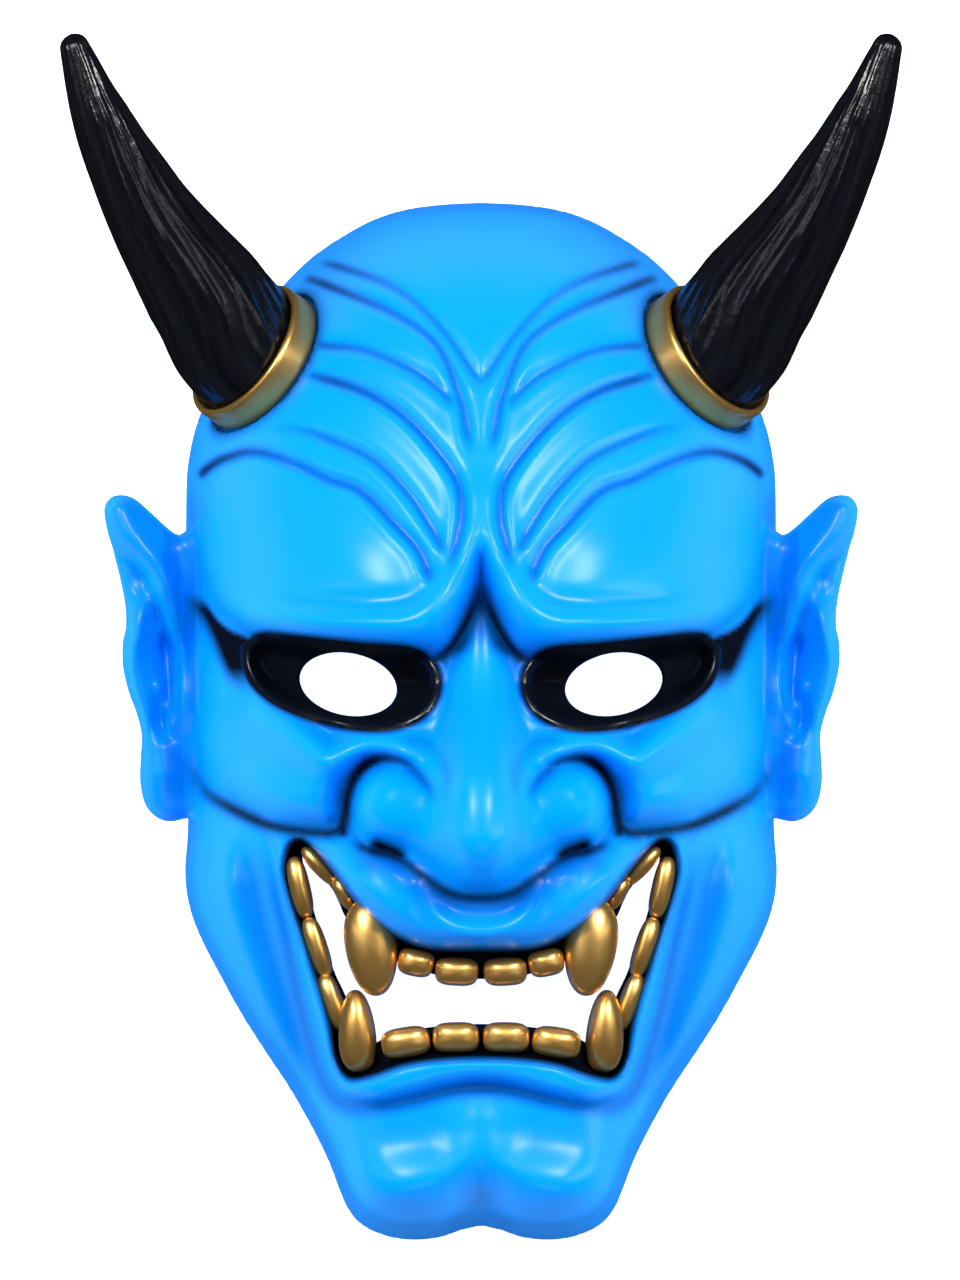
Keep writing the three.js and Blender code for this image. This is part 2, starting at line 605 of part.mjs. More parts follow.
function horn(side) {
  const { out, base } = hornAxes(side);
  const foot = base.clone().addScaledVector(out, GAP);
  const neck = base.clone().addScaledVector(out, BAND.length);
  const course = new THREE.CatmullRomCurve3(
    [
      foot,
      neck,
      new THREE.Vector3(side * 67.5, 84, 47),
      new THREE.Vector3(side * 79.3, 101, 55.5),
      new THREE.Vector3(side * 88.6, 117, 61.5),
      new THREE.Vector3(side * 95.6, 132, 65.5),
      new THREE.Vector3(side * 100.9, 146.9, 68),
    ],
    false,
    'centripetal',
  );
  const radii = [[0, 16.3], [0.13, 16.2], [0.28, 14.9], [0.45, 12.1], [0.64, 9.6], [0.82, 6.9], [1, 3.7]];
  const steps = 16;
  const sides = 14;
  const rings = [];
  const up = new THREE.Vector3(0, 0, 1);
  for (let j = 0; j <= steps; j += 1) {
    const t = j / steps;
    const along = j === 0 ? out.clone() : course.getTangentAt(t);
    const first = new THREE.Vector3().crossVectors(up, along).normalize();
    const second = new THREE.Vector3().crossVectors(along, first);
    const place = course.getPointAt(t);
    const ring = [];
    for (let i = 0; i < sides; i += 1) {
      const a = (2 * Math.PI * i) / sides;
      const groove = 0.03 * Math.sin(5 * a + 3 * t) * ease(t / 0.2);
      const r = between(radii, t) * (1 + groove);
      const p = place.clone();
      p.addScaledVector(first, r * Math.cos(a));
      p.addScaledVector(second, r * Math.sin(a));
      ring.push([p.x, p.y, p.z]);
    }
    rings.push(ring);
  }
  // a rounded tip
  const end = course.getPointAt(1);
  const ahead = course.getTangentAt(1);
  for (const [scale, push] of [[0.8, 2.2], [0.35, 3.2]]) {
    const shift = ahead.clone().multiplyScalar(push);
    rings.push(
      rings[steps].map(([x, y, z]) => [
        end.x + (x - end.x) * scale + shift.x,
        end.y + (y - end.y) * scale + shift.y,
        end.z + (z - end.z) * scale + shift.z,
      ]),
    );
  }
  const made = skin(rings);
  return solidFrom(made.points, made.triangles);
}

// Teeth.
// Each tooth is an egg: its middle, half width, half height and half depth, and its turn in degrees.
const UPPER = [
  { x: 6.05, y: -82.8, w: 5.3, h: 3.6, d: 3.0, turn: 3 },
  { x: 16.2, y: -80.6, w: 4.6, h: 3.5, d: 3.0, turn: 11 },
  { x: 27.2, y: -76.7, w: 6.5, h: 11.8, d: 4.6, turn: -7 },
  { x: 34, y: -63.2, w: 2.2, h: 4.6, d: 2.2, turn: -28 },
  { x: 40, y: -56.8, w: 2, h: 6, d: 2.2, turn: -43 },
];
const LOWER = [
  { x: 6.25, y: -99.1, w: 5.75, h: 3.8, d: 3.0, turn: -1 },
  { x: 18.7, y: -100.3, w: 6.1, h: 3.8, d: 3.0, turn: -9 },
  { x: 30.8, y: -97.6, w: 4.6, h: 10.1, d: 4.4, turn: -3 },
  { x: 36.7, y: -90.4, w: 2.6, h: 7.2, d: 2.5, turn: -20 },
  { x: 40.7, y: -76.8, w: 2.6, h: 7.7, d: 2.5, turn: -18 },
  { x: 45, y: -62, w: 2.6, h: 8, d: 2.5, turn: -13 },
];

function toothSolid(tooth, side, place, grow) {
  const geometry = new THREE.SphereGeometry(1, 8, 5);
  geometry.rotateX(Math.PI / 2);
  geometry.scale(tooth.w + grow, tooth.h + grow, tooth.d + grow);
  geometry.rotateZ(THREE.MathUtils.degToRad(tooth.turn));
  geometry.translate(tooth.x, tooth.y, place);
  geometry.scale(side, 1, 1);
  return toSolid(geometry);
}

// The lowest place for a tooth's middle at which all of its back clears the gum.
function toothPlace(tooth, room) {
  const turn = THREE.MathUtils.degToRad(tooth.turn);
  let place = 0;
  for (let u = -0.9; u <= 0.9; u += 0.3) {
    for (let v = -0.9; v <= 0.9; v += 0.3) {
      const back = 1 - u * u - v * v;
      const x = tooth.x + u * tooth.w * Math.cos(turn) - v * tooth.h * Math.sin(turn);
      const y = tooth.y + u * tooth.w * Math.sin(turn) + v * tooth.h * Math.cos(turn);
      if (back > 0 && within(room, x, y)) {
        place = Math.max(place, gridHeight(x, y) + RIM_LAND + tooth.d * Math.sqrt(back) + GAP);
      }
    }
  }
  return place;
}

// A ring drawn in by the same distance all round.
function drawnIn(ring, by) {
  return ring.map((p, i) => {
    const before = ring[(i + ring.length - 1) % ring.length];
    const after = ring[(i + 1) % ring.length];
    const along = new THREE.Vector2(after.x - before.x, after.y - before.y).normalize();
    const step = within(ring, p.x - along.y * 0.5, p.y + along.x * 0.5) ? by : -by;
    return new THREE.Vector2(p.x - along.y * step, p.y + along.x * step);
  });
}

// A row is its teeth on a thin bar from one corner of the mouth to the other, all of it kept
// between the walls of the gum channel. `grow` makes it larger all round.
function toothRow(teeth, grow) {
  const gumRing = carving.gums.dots.slice(0, -1).filter((p, i) => i % 5 === 0);
  const room = drawnIn(gumRing, 0.8);
  const places = teeth.map((tooth) => toothPlace(tooth, room));
  let row = null;
  for (const side of [1, -1]) {
    teeth.forEach((tooth, i) => {
      const solid = toothSolid(tooth, side, places[i], grow);
      row = row ? row.add(solid) : solid;
    });
  }
  const right = teeth.map((tooth, i) => new THREE.Vector3(tooth.x, tooth.y, places[i] - 0.4));
  const left = right.map((p) => new THREE.Vector3(-p.x, p.y, p.z)).reverse();
  const course = new THREE.CatmullRomCurve3([...left, ...right], false, 'centripetal');
  const steps = teeth.length * 2 - 1;
  const tube = new THREE.TubeGeometry(course, steps, 1.2 + grow, 5, false);
  const rings = [];
  const at = tube.getAttribute('position');
  for (let j = 0; j <= steps; j += 1) {
    const ring = [];
    for (let i = 0; i < 5; i += 1) {
      const k = j * 6 + i;
      ring.push([at.getX(k), at.getY(k), at.getZ(k)]);
    }
    rings.push(ring);
  }
  const made = skin(rings);
  row = row.add(solidFrom(made.points, made.triangles));
  return row.intersect(prism(drawnIn(gumRing, 0.8 - grow).map((p) => [p.x, p.y]), 0, 130));
}

// Put the face together.
let face = blockUnder(faceHeight, 0, 0, 256, 1.9);
const ear = earHalf();
const otherEar = mirrored(ear);
face = face.add(solidFrom(ear.points, ear.triangles));
face = face.add(solidFrom(otherEar.points, otherEar.triangles));
for (const side of [1, -1]) {
  face = face.add(barrel(side, 0, HORN_SEAT.radius, -14, 0));
}
face = face.subtract(blockUnder(insideHeight, WALL, -2, 64, 2.6));
for (const side of [1, -1]) {
  face = face.subtract(barrel(side, 0, HORN_SEAT.radius + 0.6, 0, 22));
}
const eyeRing = (side) => {
  const ring = [];
  for (let i = 0; i < 32; i += 1) {
    const a = (2 * Math.PI * i) / 32;
    const u = EYE.long * Math.cos(a);
    const v = EYE.short * Math.sin(a);
    const x = EYE.x + u * Math.cos(EYE.tilt) - v * Math.sin(EYE.tilt);
    const y = EYE.y + u * Math.sin(EYE.tilt) + v * Math.cos(EYE.tilt);
    ring.push([side * x, y]);
  }
  return side > 0 ? ring : ring.reverse();
};
for (const side of [1, -1]) face = face.subtract(prism(eyeRing(side), -5, 130));
const mouthRing = lineThrough(bothHalves(MOUTH_HOLE), true);
const mouthCorners = mouthRing.dots.slice(0, -1).filter((p, i) => i % 4 === 0).map((p) => [p.x, p.y]);
face = face.subtract(prism(mouthCorners, -5, 130));
// A little more than GAP, because the teeth are turned against the walls of their channel.
const TOOTH_ROOM = 1.3 * GAP;
face = face.subtract(toothRow(UPPER, TOOTH_ROOM)).subtract(toothRow(LOWER, TOOTH_ROOM));

// The named pieces.
const BLUE = new THREE.MeshStandardMaterial({ color: 0x0095ff, roughness: 0.22, metalness: 0 });
const BLACK = new THREE.MeshStandardMaterial({ color: 0x0b0c10, roughness: 0.25, metalness: 0 });
const GOLD = new THREE.MeshStandardMaterial({ color: 0xc08a2e, roughness: 0.25, metalness: 1 });

const mask = new THREE.Group();
mask.name = 'oni_mask';
function addPiece(name, solid, material) {
  const mesh = new THREE.Mesh(toGeometry(solid), material);
  mesh.name = name;
  mask.add(mesh);
}

addPiece('face', face, BLUE);
addPiece('horn_left', horn(-1), BLACK);
addPiece('horn_right', horn(1), BLACK);
addPiece('horn_band_left', band(-1), GOLD);
addPiece('horn_band_right', band(1), GOLD);
addPiece('upper_teeth', toothRow(UPPER, 0), GOLD);
addPiece('lower_teeth', toothRow(LOWER, 0), GOLD);

export default mask;
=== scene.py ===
# %% [markdown]
# # A horned oni mask
# The mask is a thin moulded shell that lies on its back rim. Gold teeth stand in its open mouth, and two
# black horns rise from gold bands. The carving is soft and flows from one form into the next, so the face
# is worked out as a field of distances and its skin is drawn through the field's zero. The pieces that are
# cast separately, such as teeth, bands and horns, are turned or swept meshes of their own.
# The first cell loads the frame, which gives the size that every piece has to keep to.

import bpy
import numpy as np
import openvdb as vdb
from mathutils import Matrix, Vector


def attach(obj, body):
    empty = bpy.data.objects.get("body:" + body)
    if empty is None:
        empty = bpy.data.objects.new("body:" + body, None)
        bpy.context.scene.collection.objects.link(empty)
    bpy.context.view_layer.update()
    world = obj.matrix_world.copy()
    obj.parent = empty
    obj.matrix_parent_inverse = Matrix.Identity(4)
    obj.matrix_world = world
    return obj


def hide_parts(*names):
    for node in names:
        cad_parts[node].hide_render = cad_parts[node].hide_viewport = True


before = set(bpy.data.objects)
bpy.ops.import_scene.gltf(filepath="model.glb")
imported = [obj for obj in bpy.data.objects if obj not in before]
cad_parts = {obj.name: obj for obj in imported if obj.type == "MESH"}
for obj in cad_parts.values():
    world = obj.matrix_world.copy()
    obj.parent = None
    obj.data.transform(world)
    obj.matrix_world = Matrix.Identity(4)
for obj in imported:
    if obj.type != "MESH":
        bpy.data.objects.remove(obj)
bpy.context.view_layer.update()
MM = 0.001

# %% [markdown]
# ## Small tools
# Three tools do most of the carving. `blend` keeps the larger of two heights and fills the valley between
# them, as clay does when it is smoothed with a thumb. A Catmull-Rom line goes smoothly through a few chosen
# points, so a crease needs no more points than its bends. `near` gives the signed gap to such a line and how
# far along it the nearest place lies, from which ridges, grooves and rounded borders all follow.

# %% Blends
def ease(t):
    """A smooth rise from 0 to 1."""
    t = np.clip(t, 0, 1)
    return t * t * (3 - 2 * t)


def ramp(value, start, end):
    """0 before the start and 1 past the end, also where the end is the lower of the two."""
    return ease((value - start) / (end - start))


def blend(a, b, soft):
    """The larger of two values, with a fillet where they are closer than `soft`."""
    share = np.clip(0.5 + 0.5 * (a - b) / soft, 0, 1)
    return a * share + b * (1 - share) + soft * share * (1 - share)


def meet(a, b, soft):
    """The smaller of two values, with a rounded edge."""
    return -blend(-a, -b, soft)


def bump(gap, width):
    """A soft hill: 1 where there is no gap, and almost nothing at twice its width."""
    return np.exp(-((gap / width) ** 2))


# %% Lines
FAR, SHORTEST, TINY = 1e3, 1e-6, 1e-12


def spline(points, steps=8):
    """A Catmull-Rom line through points of the plan or of space."""
    p = np.array(points, float)
    q = np.vstack([2 * p[0] - p[1], p, 2 * p[-1] - p[-2]])
    t = np.linspace(0, 1, steps, endpoint=False)[:, None]
    out = []
    for a, b, c, d in zip(q, q[1:], q[2:], q[3:]):
        square, cube = 2 * a - 5 * b + 4 * c - d, 3 * b - a - 3 * c + d
        out.append(0.5 * (2 * b + (c - a) * t + square * t**2 + cube * t**3))
    return np.vstack(out + [p[-1:]])


def near(line, x, y, reach=None):
    """The gap to a line, and the share of its length at the nearest place.

    The gap is positive above a line that runs towards the middle. Places outside the line's box, widened
    by the reach, count as far away.
    """
    inside = np.ones(x.shape, bool)
    if reach is not None:
        low, high = line.min(0) - reach, line.max(0) + reach
        inside = (x > low[0]) & (x < high[0]) & (y > low[1]) & (y < high[1])
    px, py = x[inside], y[inside]
    nearest, side, at = np.full(px.shape, np.inf), np.ones(px.shape), np.zeros(px.shape)
    length = np.hypot(*np.diff(line, axis=0).T)
    run = np.concatenate([[0], np.cumsum(length)])
    for (ax, ay), (bx, by), start, span in zip(line, line[1:], run, length):
        dx, dy = bx - ax, by - ay
        u = np.clip(((px - ax) * dx + (py - ay) * dy) / (span * span + TINY), 0, 1)
        ex, ey = px - ax - u * dx, py - ay - u * dy
        squared = ex * ex + ey * ey
        closer = squared < nearest
        nearest = np.where(closer, squared, nearest)
        side = np.where(closer, np.where(dx * ey - dy * ex > 0, -1.0, 1.0), side)
        at = np.where(closer, (start + u * span) / run[-1], at)
    gap, share = np.full(x.shape, FAR), np.zeros(x.shape)
    gap[inside], share[inside] = np.sqrt(nearest) * side, at
    return gap, share


# %% Ridges and borders along a line
def along(share, table):
    """A value that is named at a few shares of a length, joined by straight lines."""
    return np.interp(share, list(table), list(table.values()))


def ends(share, first, last):
    """A line's strength along its length: it fades in over the first share and out over the last."""
    return ease(share / max(first, SHORTEST)) * ease((1 - share) / max(last, SHORTEST))


def stroke(x, y, line, height, width, fade=None, reach=None, shift=0):
    """A soft ridge along a line, or a groove where the height is negative.

    Height and width are numbers or tables along the line. A pair of widths is for the side where the gap is
    positive and the other. `fade` is the share of the length over which each end fades, and `shift` moves
    the ridge to the side where the gap is negative.
    """
    gap, share = near(line, x, y, reach)
    if isinstance(width, tuple):
        width = np.where(gap > 0, *width)
    height, width = (along(share, value) if isinstance(value, dict) else value for value in (height, width))
    strength = height if fade is None else height * ends(share, *fade)
    return strength * bump(gap + shift, width)


def border(gap, radius, depth, slope=0):
    """A rounded border: level at `radius` inside it, `depth` lower at it, and falling away past it."""
    t = np.clip(gap / radius, 0, 1)
    return -depth * (1 - np.sqrt(1 - (1 - t) ** 2)) + slope * np.minimum(gap, 0)


# %% Levels and round forms
def level(y, table):
    """Heights named at a few places along y, joined smoothly."""
    places, heights = np.array(list(table), float), np.array(list(table.values()), float)
    slope = np.gradient(heights, places)
    i = np.clip(np.searchsorted(places, y) - 1, 0, len(places) - 2)
    span = places[i + 1] - places[i]
    t = np.clip((y - places[i]) / span, 0, 1)
    start = (1 + 2 * t) * (1 - t) ** 2 * heights[i] + t * (1 - t) ** 2 * span * slope[i]
    return start + t * t * (3 - 2 * t) * heights[i + 1] + t * t * (t - 1) * span * slope[i + 1]


def oval(x, y, middle, radii):
    """How far out a place lies: 0 in the middle and 1 on the oval with these radii."""
    return np.hypot((x - middle[0]) / radii[0], (y - middle[1]) / radii[1])


def swelling(x, y, middle, radii):
    """A soft round hill of height 1."""
    return bump(oval(x, y, middle, radii), 1)


# %% Closed rings
def ring_distance(ring, x, y):
    """Distance to a closed ring, positive inside it."""
    gap, _ = near(ring, x, y)
    inside = np.zeros(x.shape, bool)
    for (ax, ay), (bx, by) in zip(ring, np.roll(ring, -1, axis=0)):
        crosses = (ay > y) != (by > y)
        inside ^= crosses & (x < (bx - ax) * (y - ay) / (by - ay + TINY) + ax)
    return np.where(inside, np.abs(gap), -np.abs(gap))


def both_halves(half):
    return half + [(-x, y) for x, y in half[-2:0:-1]]


def smooth_ring(points, steps=4):
    """A closed line. It runs on past its first point, so that its seam is as smooth as the rest."""
    closed = points[-1:] + points + points[:2]
    return spline(closed, steps)[steps:-steps - 1]


# %% [markdown]
# ## Outline and dome
# The mask is carved like a relief, so a single height above the back rim describes its whole front. It is
# built up in the order in which a carver works: the jaw and chin, then the lips, cheek and muzzle over
# them, the nose over the muzzle, the eye sockets and the gum channel cut in, and last the forehead and
# brow over everything. Each layer starts from a dome over the outline, whose power sets how flat it is.
# All places are in millimetres on the right half, with x from the middle and y towards the crown, and most
# lines run from the outside to the middle. The left half mirrors them.

# %% Outline and dome
OUTLINE = [
    (0, 108.9), (10, 108.4), (19.6, 107), (28, 104.1), (38.4, 98.1), (45.8, 92.1), (53, 84), (60.5, 74),
    (66, 65), (69.8, 57), (72, 50), (73.4, 42), (73.7, 33), (73.7, 20), (73.6, 0), (73.4, -20), (73.2, -46),
    (73.9, -57), (73.5, -64), (72, -70), (69.5, -76), (64.8, -85), (59.8, -94), (54.1, -103), (48.1, -112),
    (42.9, -121), (38.4, -130), (35.5, -137.5), (33.6, -142), (31, -145.5), (27.3, -148), (22, -149.8),
    (16, -150.3), (10, -149.6), (5, -147.9), (0, -146.8),
]
MIDDLE_Y = -10
outline = spline(OUTLINE)
outline_angle = np.arctan2(outline[:, 0], outline[:, 1] - MIDDLE_Y)
outline_radius = np.hypot(outline[:, 0], outline[:, 1] - MIDDLE_Y)


def outline_share(x, y):
    """A place's share of the way from the middle to the outline, and the whole of that way."""
    angle = np.arctan2(np.abs(x), y - MIDDLE_Y)
    radius = np.interp(angle, outline_angle, outline_radius)
    return np.hypot(x, y - MIDDLE_Y) / radius, radius


def dome(share, top, power):
    return top * (1 - np.clip(share, 0, 1) ** power) ** (1 / power)


print("outline from", outline.min(0), "to", outline.max(0))

# %% [markdown]
# ## Jaw and chin
# The lower face is a long wedge with a crest down each side, a valley beside the mouth and a chin of two
# lobes. It could be sculpted with a brush, but a ridge along a named line can be moved and measured later,
# so each crest and valley is one stroke. A stroke's row names its line, height, width, fades and reach.

# %% Jaw and chin
JAW_TOP = {-150: 79, -138: 81, -125: 75.5, -112: 71.5, -95: 72, -72: 70, -50: 68, -30: 66, 0: 64}
JAW_CREST = spline([
    (64, -44), (65, -53), (63, -65.5), (59, -80.5), (53, -95.5), (46, -109), (40, -120.5), (33, -130.5),
])
JAW_VALLEY = spline([
    (60, -47), (58.8, -55), (57, -64), (54, -75), (50, -87), (45.5, -100), (41.5, -110), (37, -120),
])
CHIN_HOLLOW = spline([(34, -121), (27, -123.5), (19, -124), (11.5, -122.5), (5.5, -119)])
CHIN_ARM = spline([
    (0, -122), (2, -127), (4.6, -130), (8.8, -132.6), (15.3, -135.4), (23, -137.6), (31, -139),
])
JAW_STROKES = (
    (JAW_CREST, 3.6, 5.6, (0.2, 0.3), 20),
    (CHIN_HOLLOW, -1.4, 7, (0.5, 0.3), 16),
    (JAW_VALLEY, -2.3, 3.4, (0.15, 0.3), 14),
    (CHIN_ARM, 1.5, (3.6, 7), (0.25, 0.3), 14),
)
CHIN_LOBE, LOBE_RISE = {"middle": (18, -141), "radii": (17, 9)}, 1.6
RIDGE_RISE, RIDGE_WIDTH = 1.3, 4
NOTCH_DEPTH, NOTCH_WIDTH = 5, 6


def jaw(x, y, share, power):
    h = dome(share, level(y, JAW_TOP), power)
    for row in JAW_STROKES:
        h += stroke(x, y, *row)
    ridge = RIDGE_RISE * bump(x, RIDGE_WIDTH) * ramp(y, -112, -120) * ramp(y, -133, -124)
    notch = NOTCH_DEPTH * bump(x, NOTCH_WIDTH) * ramp(y, -130, -145)
    return h + ridge + LOBE_RISE * swelling(x, y, **CHIN_LOBE) - notch


# %% [markdown]
# ## Lower lip and cheek
# The lower lip is a raised frame round the mouth's lower half, and the cheek is a pad that ends in an
# overhanging fold. Both are domes of their own height that fall off past a border line. Laid over the jaw
# by a blend, they leave the soft step that a hand-carved border has.

# %% Lower lip and cheek
LIP_TOP = {-115: 81, -95: 79, -72: 76, -50: 72}
LIP_BORDER = spline([
    (56.5, -45), (55, -47.5), (53, -51.5), (50.5, -61.5), (48, -71.5), (44.5, -88), (41, -101.5), (38, -110),
    (34, -114.5), (26.5, -115.5), (18.5, -114), (9, -111.5), (0, -110.5), (-9, -111.5),
])
CHEEK_TOP = {-60: 76, -48: 80, -35: 82, -22: 79, -10: 72}
CHEEK_EDGE = spline([
    (83, -25.5), (73, -31.5), (70, -36.5), (65.5, -40.5), (54, -46), (43, -48), (36.4, -48), (34, -45),
    (33.6, -40), (32, -35), (28.8, -31.2), (24, -29.6), (19, -30),
])
# radius, depth and slope of a rounded border
LIP_ROUNDING, CHEEK_ROUNDING = (4.5, 9, 6), (9, 17)
UPPER_POWER = 2.35
EYE_ROOM = 18


def lower_lip(x, y, share, power):
    gap, _ = near(LIP_BORDER, x, y)
    return dome(share, level(y, LIP_TOP), power) + border(gap, *LIP_ROUNDING)


def cheek(x, y, share):
    h = dome(share, level(y, CHEEK_TOP), UPPER_POWER)
    gap, at = near(CHEEK_EDGE, x, y)
    eye_room = EYE_ROOM * ramp(y, -14, 2) * ramp(x, 66, 58)
    return h + border(gap, *CHEEK_ROUNDING) * ramp(at, 1, 0.84) - eye_room


# %% [markdown]
# ## Muzzle
# The upper lip is pulled up like that of a growling dog. The muzzle is half an egg under the nose, cut off
# along the lip, and folds run down from the nostrils to a rolled rim over the teeth. It could be modelled as
# a mesh of its own, but a height that is laid over the jaw needs no seam to be closed.

# %% Muzzle
UPPER_LIP = spline([
    (49, -47.5), (44, -52), (38, -57.5), (32, -64.5), (22, -73.5), (13, -77), (0, -77.5), (-13, -77),
])
LIP_ROLL = spline([
    (33, -50), (33, -54), (32, -58), (27, -62.4), (22, -67.2), (16.5, -71.6), (9, -74), (0, -74.8), (-9, -74),
])
LIP_VALLEY = spline([(14, -61.5), (10, -64.5), (5, -66.3), (0, -66.8), (-6, -66)])
NOSTRIL_FOLD = spline([(24.4, -55.8), (22.4, -58), (20.3, -60.6), (18.9, -64), (17.6, -67.6), (14.4, -71.2)])
PHILTRUM_FOLD = spline([
    (18.6, -56.6), (17.4, -59.2), (15.8, -62.2), (13.9, -65.2), (11.7, -68), (7.8, -71.4), (3, -72.8),
    (0, -73), (-6, -72.6),
])
MUZZLE_STROKES = (
    (LIP_ROLL, 1.6, 3.6, (0.3, 0), 12),
    (LIP_VALLEY, -3, 3.6, (0.35, 0), 12),
    (NOSTRIL_FOLD, 1.2, 1.8, (0.25, 0.35), 12),
    (PHILTRUM_FOLD, 1.8, 2.4, (0.15, 0), 12),
)
MUZZLE = {"middle": (0, -60, 52), "radii": (47, 25, 32)}
MOUTH_CORNER, CORNER_RISE = {"middle": (35.5, -51.5), "radii": (3.6, 3.2)}, 1.2
MUZZLE_ROUNDING = (5, 7, 6)
STEEP = 60


def egg(x, y, middle, radii):
    """The top of an egg lying in the face, as a height that falls away outside it."""
    q = 1 - ((x - middle[0]) / radii[0]) ** 2 - ((y - middle[1]) / radii[1]) ** 2
    outside = middle[2] - STEEP * np.minimum(-q, 3)
    return np.where(q > 0, middle[2] + radii[2] * np.sqrt(np.maximum(q, 0)), outside)


def muzzle(x, y):
    gap, _ = near(UPPER_LIP, x, y)
    h = egg(x, y, **MUZZLE) + border(gap, *MUZZLE_ROUNDING)
    for row in MUZZLE_STROKES:
        h += stroke(x, y, *row)
    return h + CORNER_RISE * swelling(x, y, **MOUTH_CORNER)


# %% [markdown]
# ## Nose
# The nose has a broad bridge that rises to a blunt tip and two round wings. It could be merged from balls
# and a cylinder, but its profile would then be hard to steer. Here the bridge is a rounded ridge whose
# height and width are named along y, the wings are ovals on a low pillow, and a soft blend joins them. Two
# creases are then cut: one round each wing and one where the wing leaves the bridge.

# %% Nose
NOSE_HALF = [
    (0, -20), (9, -22.5), (16, -27), (22, -31), (27.5, -33.2), (31, -38), (31.7, -43.5), (30.4, -47.8),
    (27.5, -50.5), (23, -52), (19, -53.7), (14, -57.8), (6.5, -61.5), (0, -62.5),
]
NOSE_RING = smooth_ring(both_halves(NOSE_HALF))
NOSE_CREST = {
    -66: 91.2, -60: 97, -54: 100.4, -50: 101.2, -46: 100.9, -38: 98.9, -34: 97, -28: 92.4, -20: 86.2,
    -12: 80.5, -3: 76.5, 5: 75, 16: 73,
}
NOSE_WIDTH = {-60: 12, -44: 13.5, -30: 12.5, -20: 11.5, -10: 10.5, 5: 10, 16: 9}
FLANK_DEPTH, FLANK_POWER = 19, 2.5
WING = {"middle": (20.3, -41.2), "radii": (11.7, 11.6)}
WING_BASE, WING_RISE, WING_POWER = 58, 30, 2.7
PILLOW_TOP, PILLOW_ROUNDING, BRIDGE_ROUNDING = 85, (12, 13, 12), (13, 17, 12)
NOSE_PAD, NOSE_PAD_RISE = {"middle": (15.5, -49), "radii": (8, 7)}, 4
WING_CREASE = spline([
    (34.6, -50.5), (34, -45), (33, -38.5), (31, -34), (27.5, -30.6), (23.5, -29.8), (19, -30.8),
    (14.6, -34.8), (12.4, -38.6), (11.6, -42),
])
BRIDGE_CREASE = spline([
    (22, -26.2), (19.6, -25.4), (14, -25.4), (11, -27.5), (9.2, -31), (8.6, -35.4), (9.6, -42),
])
NOSE_STROKES = (
    (WING_CREASE, -1.9, 1.5, (0.1, 0.4), 10),
    (BRIDGE_CREASE, -1.2, 1.8, (0.3, 0.4), 10),
)


def nose(x, y):
    inside = ring_distance(NOSE_RING, x, y)
    pillow = PILLOW_TOP + border(inside, *PILLOW_ROUNDING) + NOSE_PAD_RISE * swelling(x, y, **NOSE_PAD)
    from_wing = oval(x, y, **WING)
    wings = WING_BASE + dome(from_wing, WING_RISE, WING_POWER) - STEEP * np.maximum(from_wing - 1, 0)
    width = level(y, NOSE_WIDTH)
    flank = FLANK_DEPTH * (1 - np.exp(-((x / width) ** FLANK_POWER))) + 50 * ramp(x, 1.2 * width, 2.7 * width)
    bridge = level(y, NOSE_CREST) - flank - STEEP * ramp(y, 14, 40)
    bridge += ramp(y, -34, -48) * border(inside, *BRIDGE_ROUNDING)
    h = blend(blend(pillow, wings, 5), bridge, 7)
    for row in NOSE_STROKES:
        h += stroke(x, y, *row)
    return h


# %% [markdown]
# ## Forehead and brow
# The brow is the boldest form of the mask: a rolled crest that overhangs the eyes and dives to the root of
# the nose. Above it six creases fan out from the middle. A bump map could draw them, but it would leave the
# outline and the shadows flat, so each is a groove in the mesh, with a little swelling of flesh below it as
# skin that is pushed together has, and it fades out towards the temple.

# %% Brow lines and folds
BROW_EDGE = spline([
    (78, 24.5), (70, 11), (63, 2.5), (52, -1), (41, -2.6), (31.5, -3.4), (24, -4), (17, -4.6), (12.5, -4.2),
    (8.4, -2.3), (5.4, 1), (3.2, 4.8), (1.5, 8.4), (0.6, 11.5), (0.1, 16), (-0.5, 22), (-3, 28),
])
BROW_CREST = spline([
    (70, 11.5), (62, 6.5), (46, 4.2), (37.8, 3.5), (25, 3), (19.5, 3.6), (15.4, 5.3), (11.8, 8), (8.8, 11.4),
    (6.4, 15.2), (4.6, 19.4), (3.3, 23.6), (2.5, 28), (2.2, 36), (4, 44),
])
PAD_EDGE = spline([(55, 9.2), (45, 8.9), (36, 9.1), (26, 9.3), (18, 10), (13.8, 12), (12.4, 15)])
TEMPLE_EDGE = spline([(73.5, 42), (71.5, 36), (71.3, 27), (70.6, 18), (67.5, 10), (60, 3.5)])
FOLDS = {
    "crown": spline([(41, 95), (38, 93.5), (25, 89), (17, 84), (9, 76), (3, 67.5), (-1, 61.5)]),
    "second": spline([(45, 90.5), (33.5, 86), (21, 80.5), (11, 73), (5.5, 60.5), (3.2, 49.5), (2.4, 45)]),
    "short": spline([(42, 74.5), (40, 73), (28.5, 71.5), (17, 66.5), (10, 61.5), (6, 56.5)]),
    "hook": spline([
        (44, 66), (29.5, 61.5), (19, 55), (10.3, 45.5), (5.7, 38), (4.8, 30.5), (6.1, 23.8), (8.2, 15.5),
    ]),
    "upper pad": spline([
        (55, 53.5), (45, 52), (37.8, 49.6), (27, 44.6), (18.5, 36.4), (12.8, 27.9), (8.5, 20.4),
    ]),
    "lower pad": spline([
        (71, 39.5), (68, 42.5), (63.5, 45), (56, 46.5), (46, 43.5), (37.8, 39.6), (29.5, 36.4), (21, 27.9),
        (15.3, 21.4), (12, 12.9),
    ]),
}

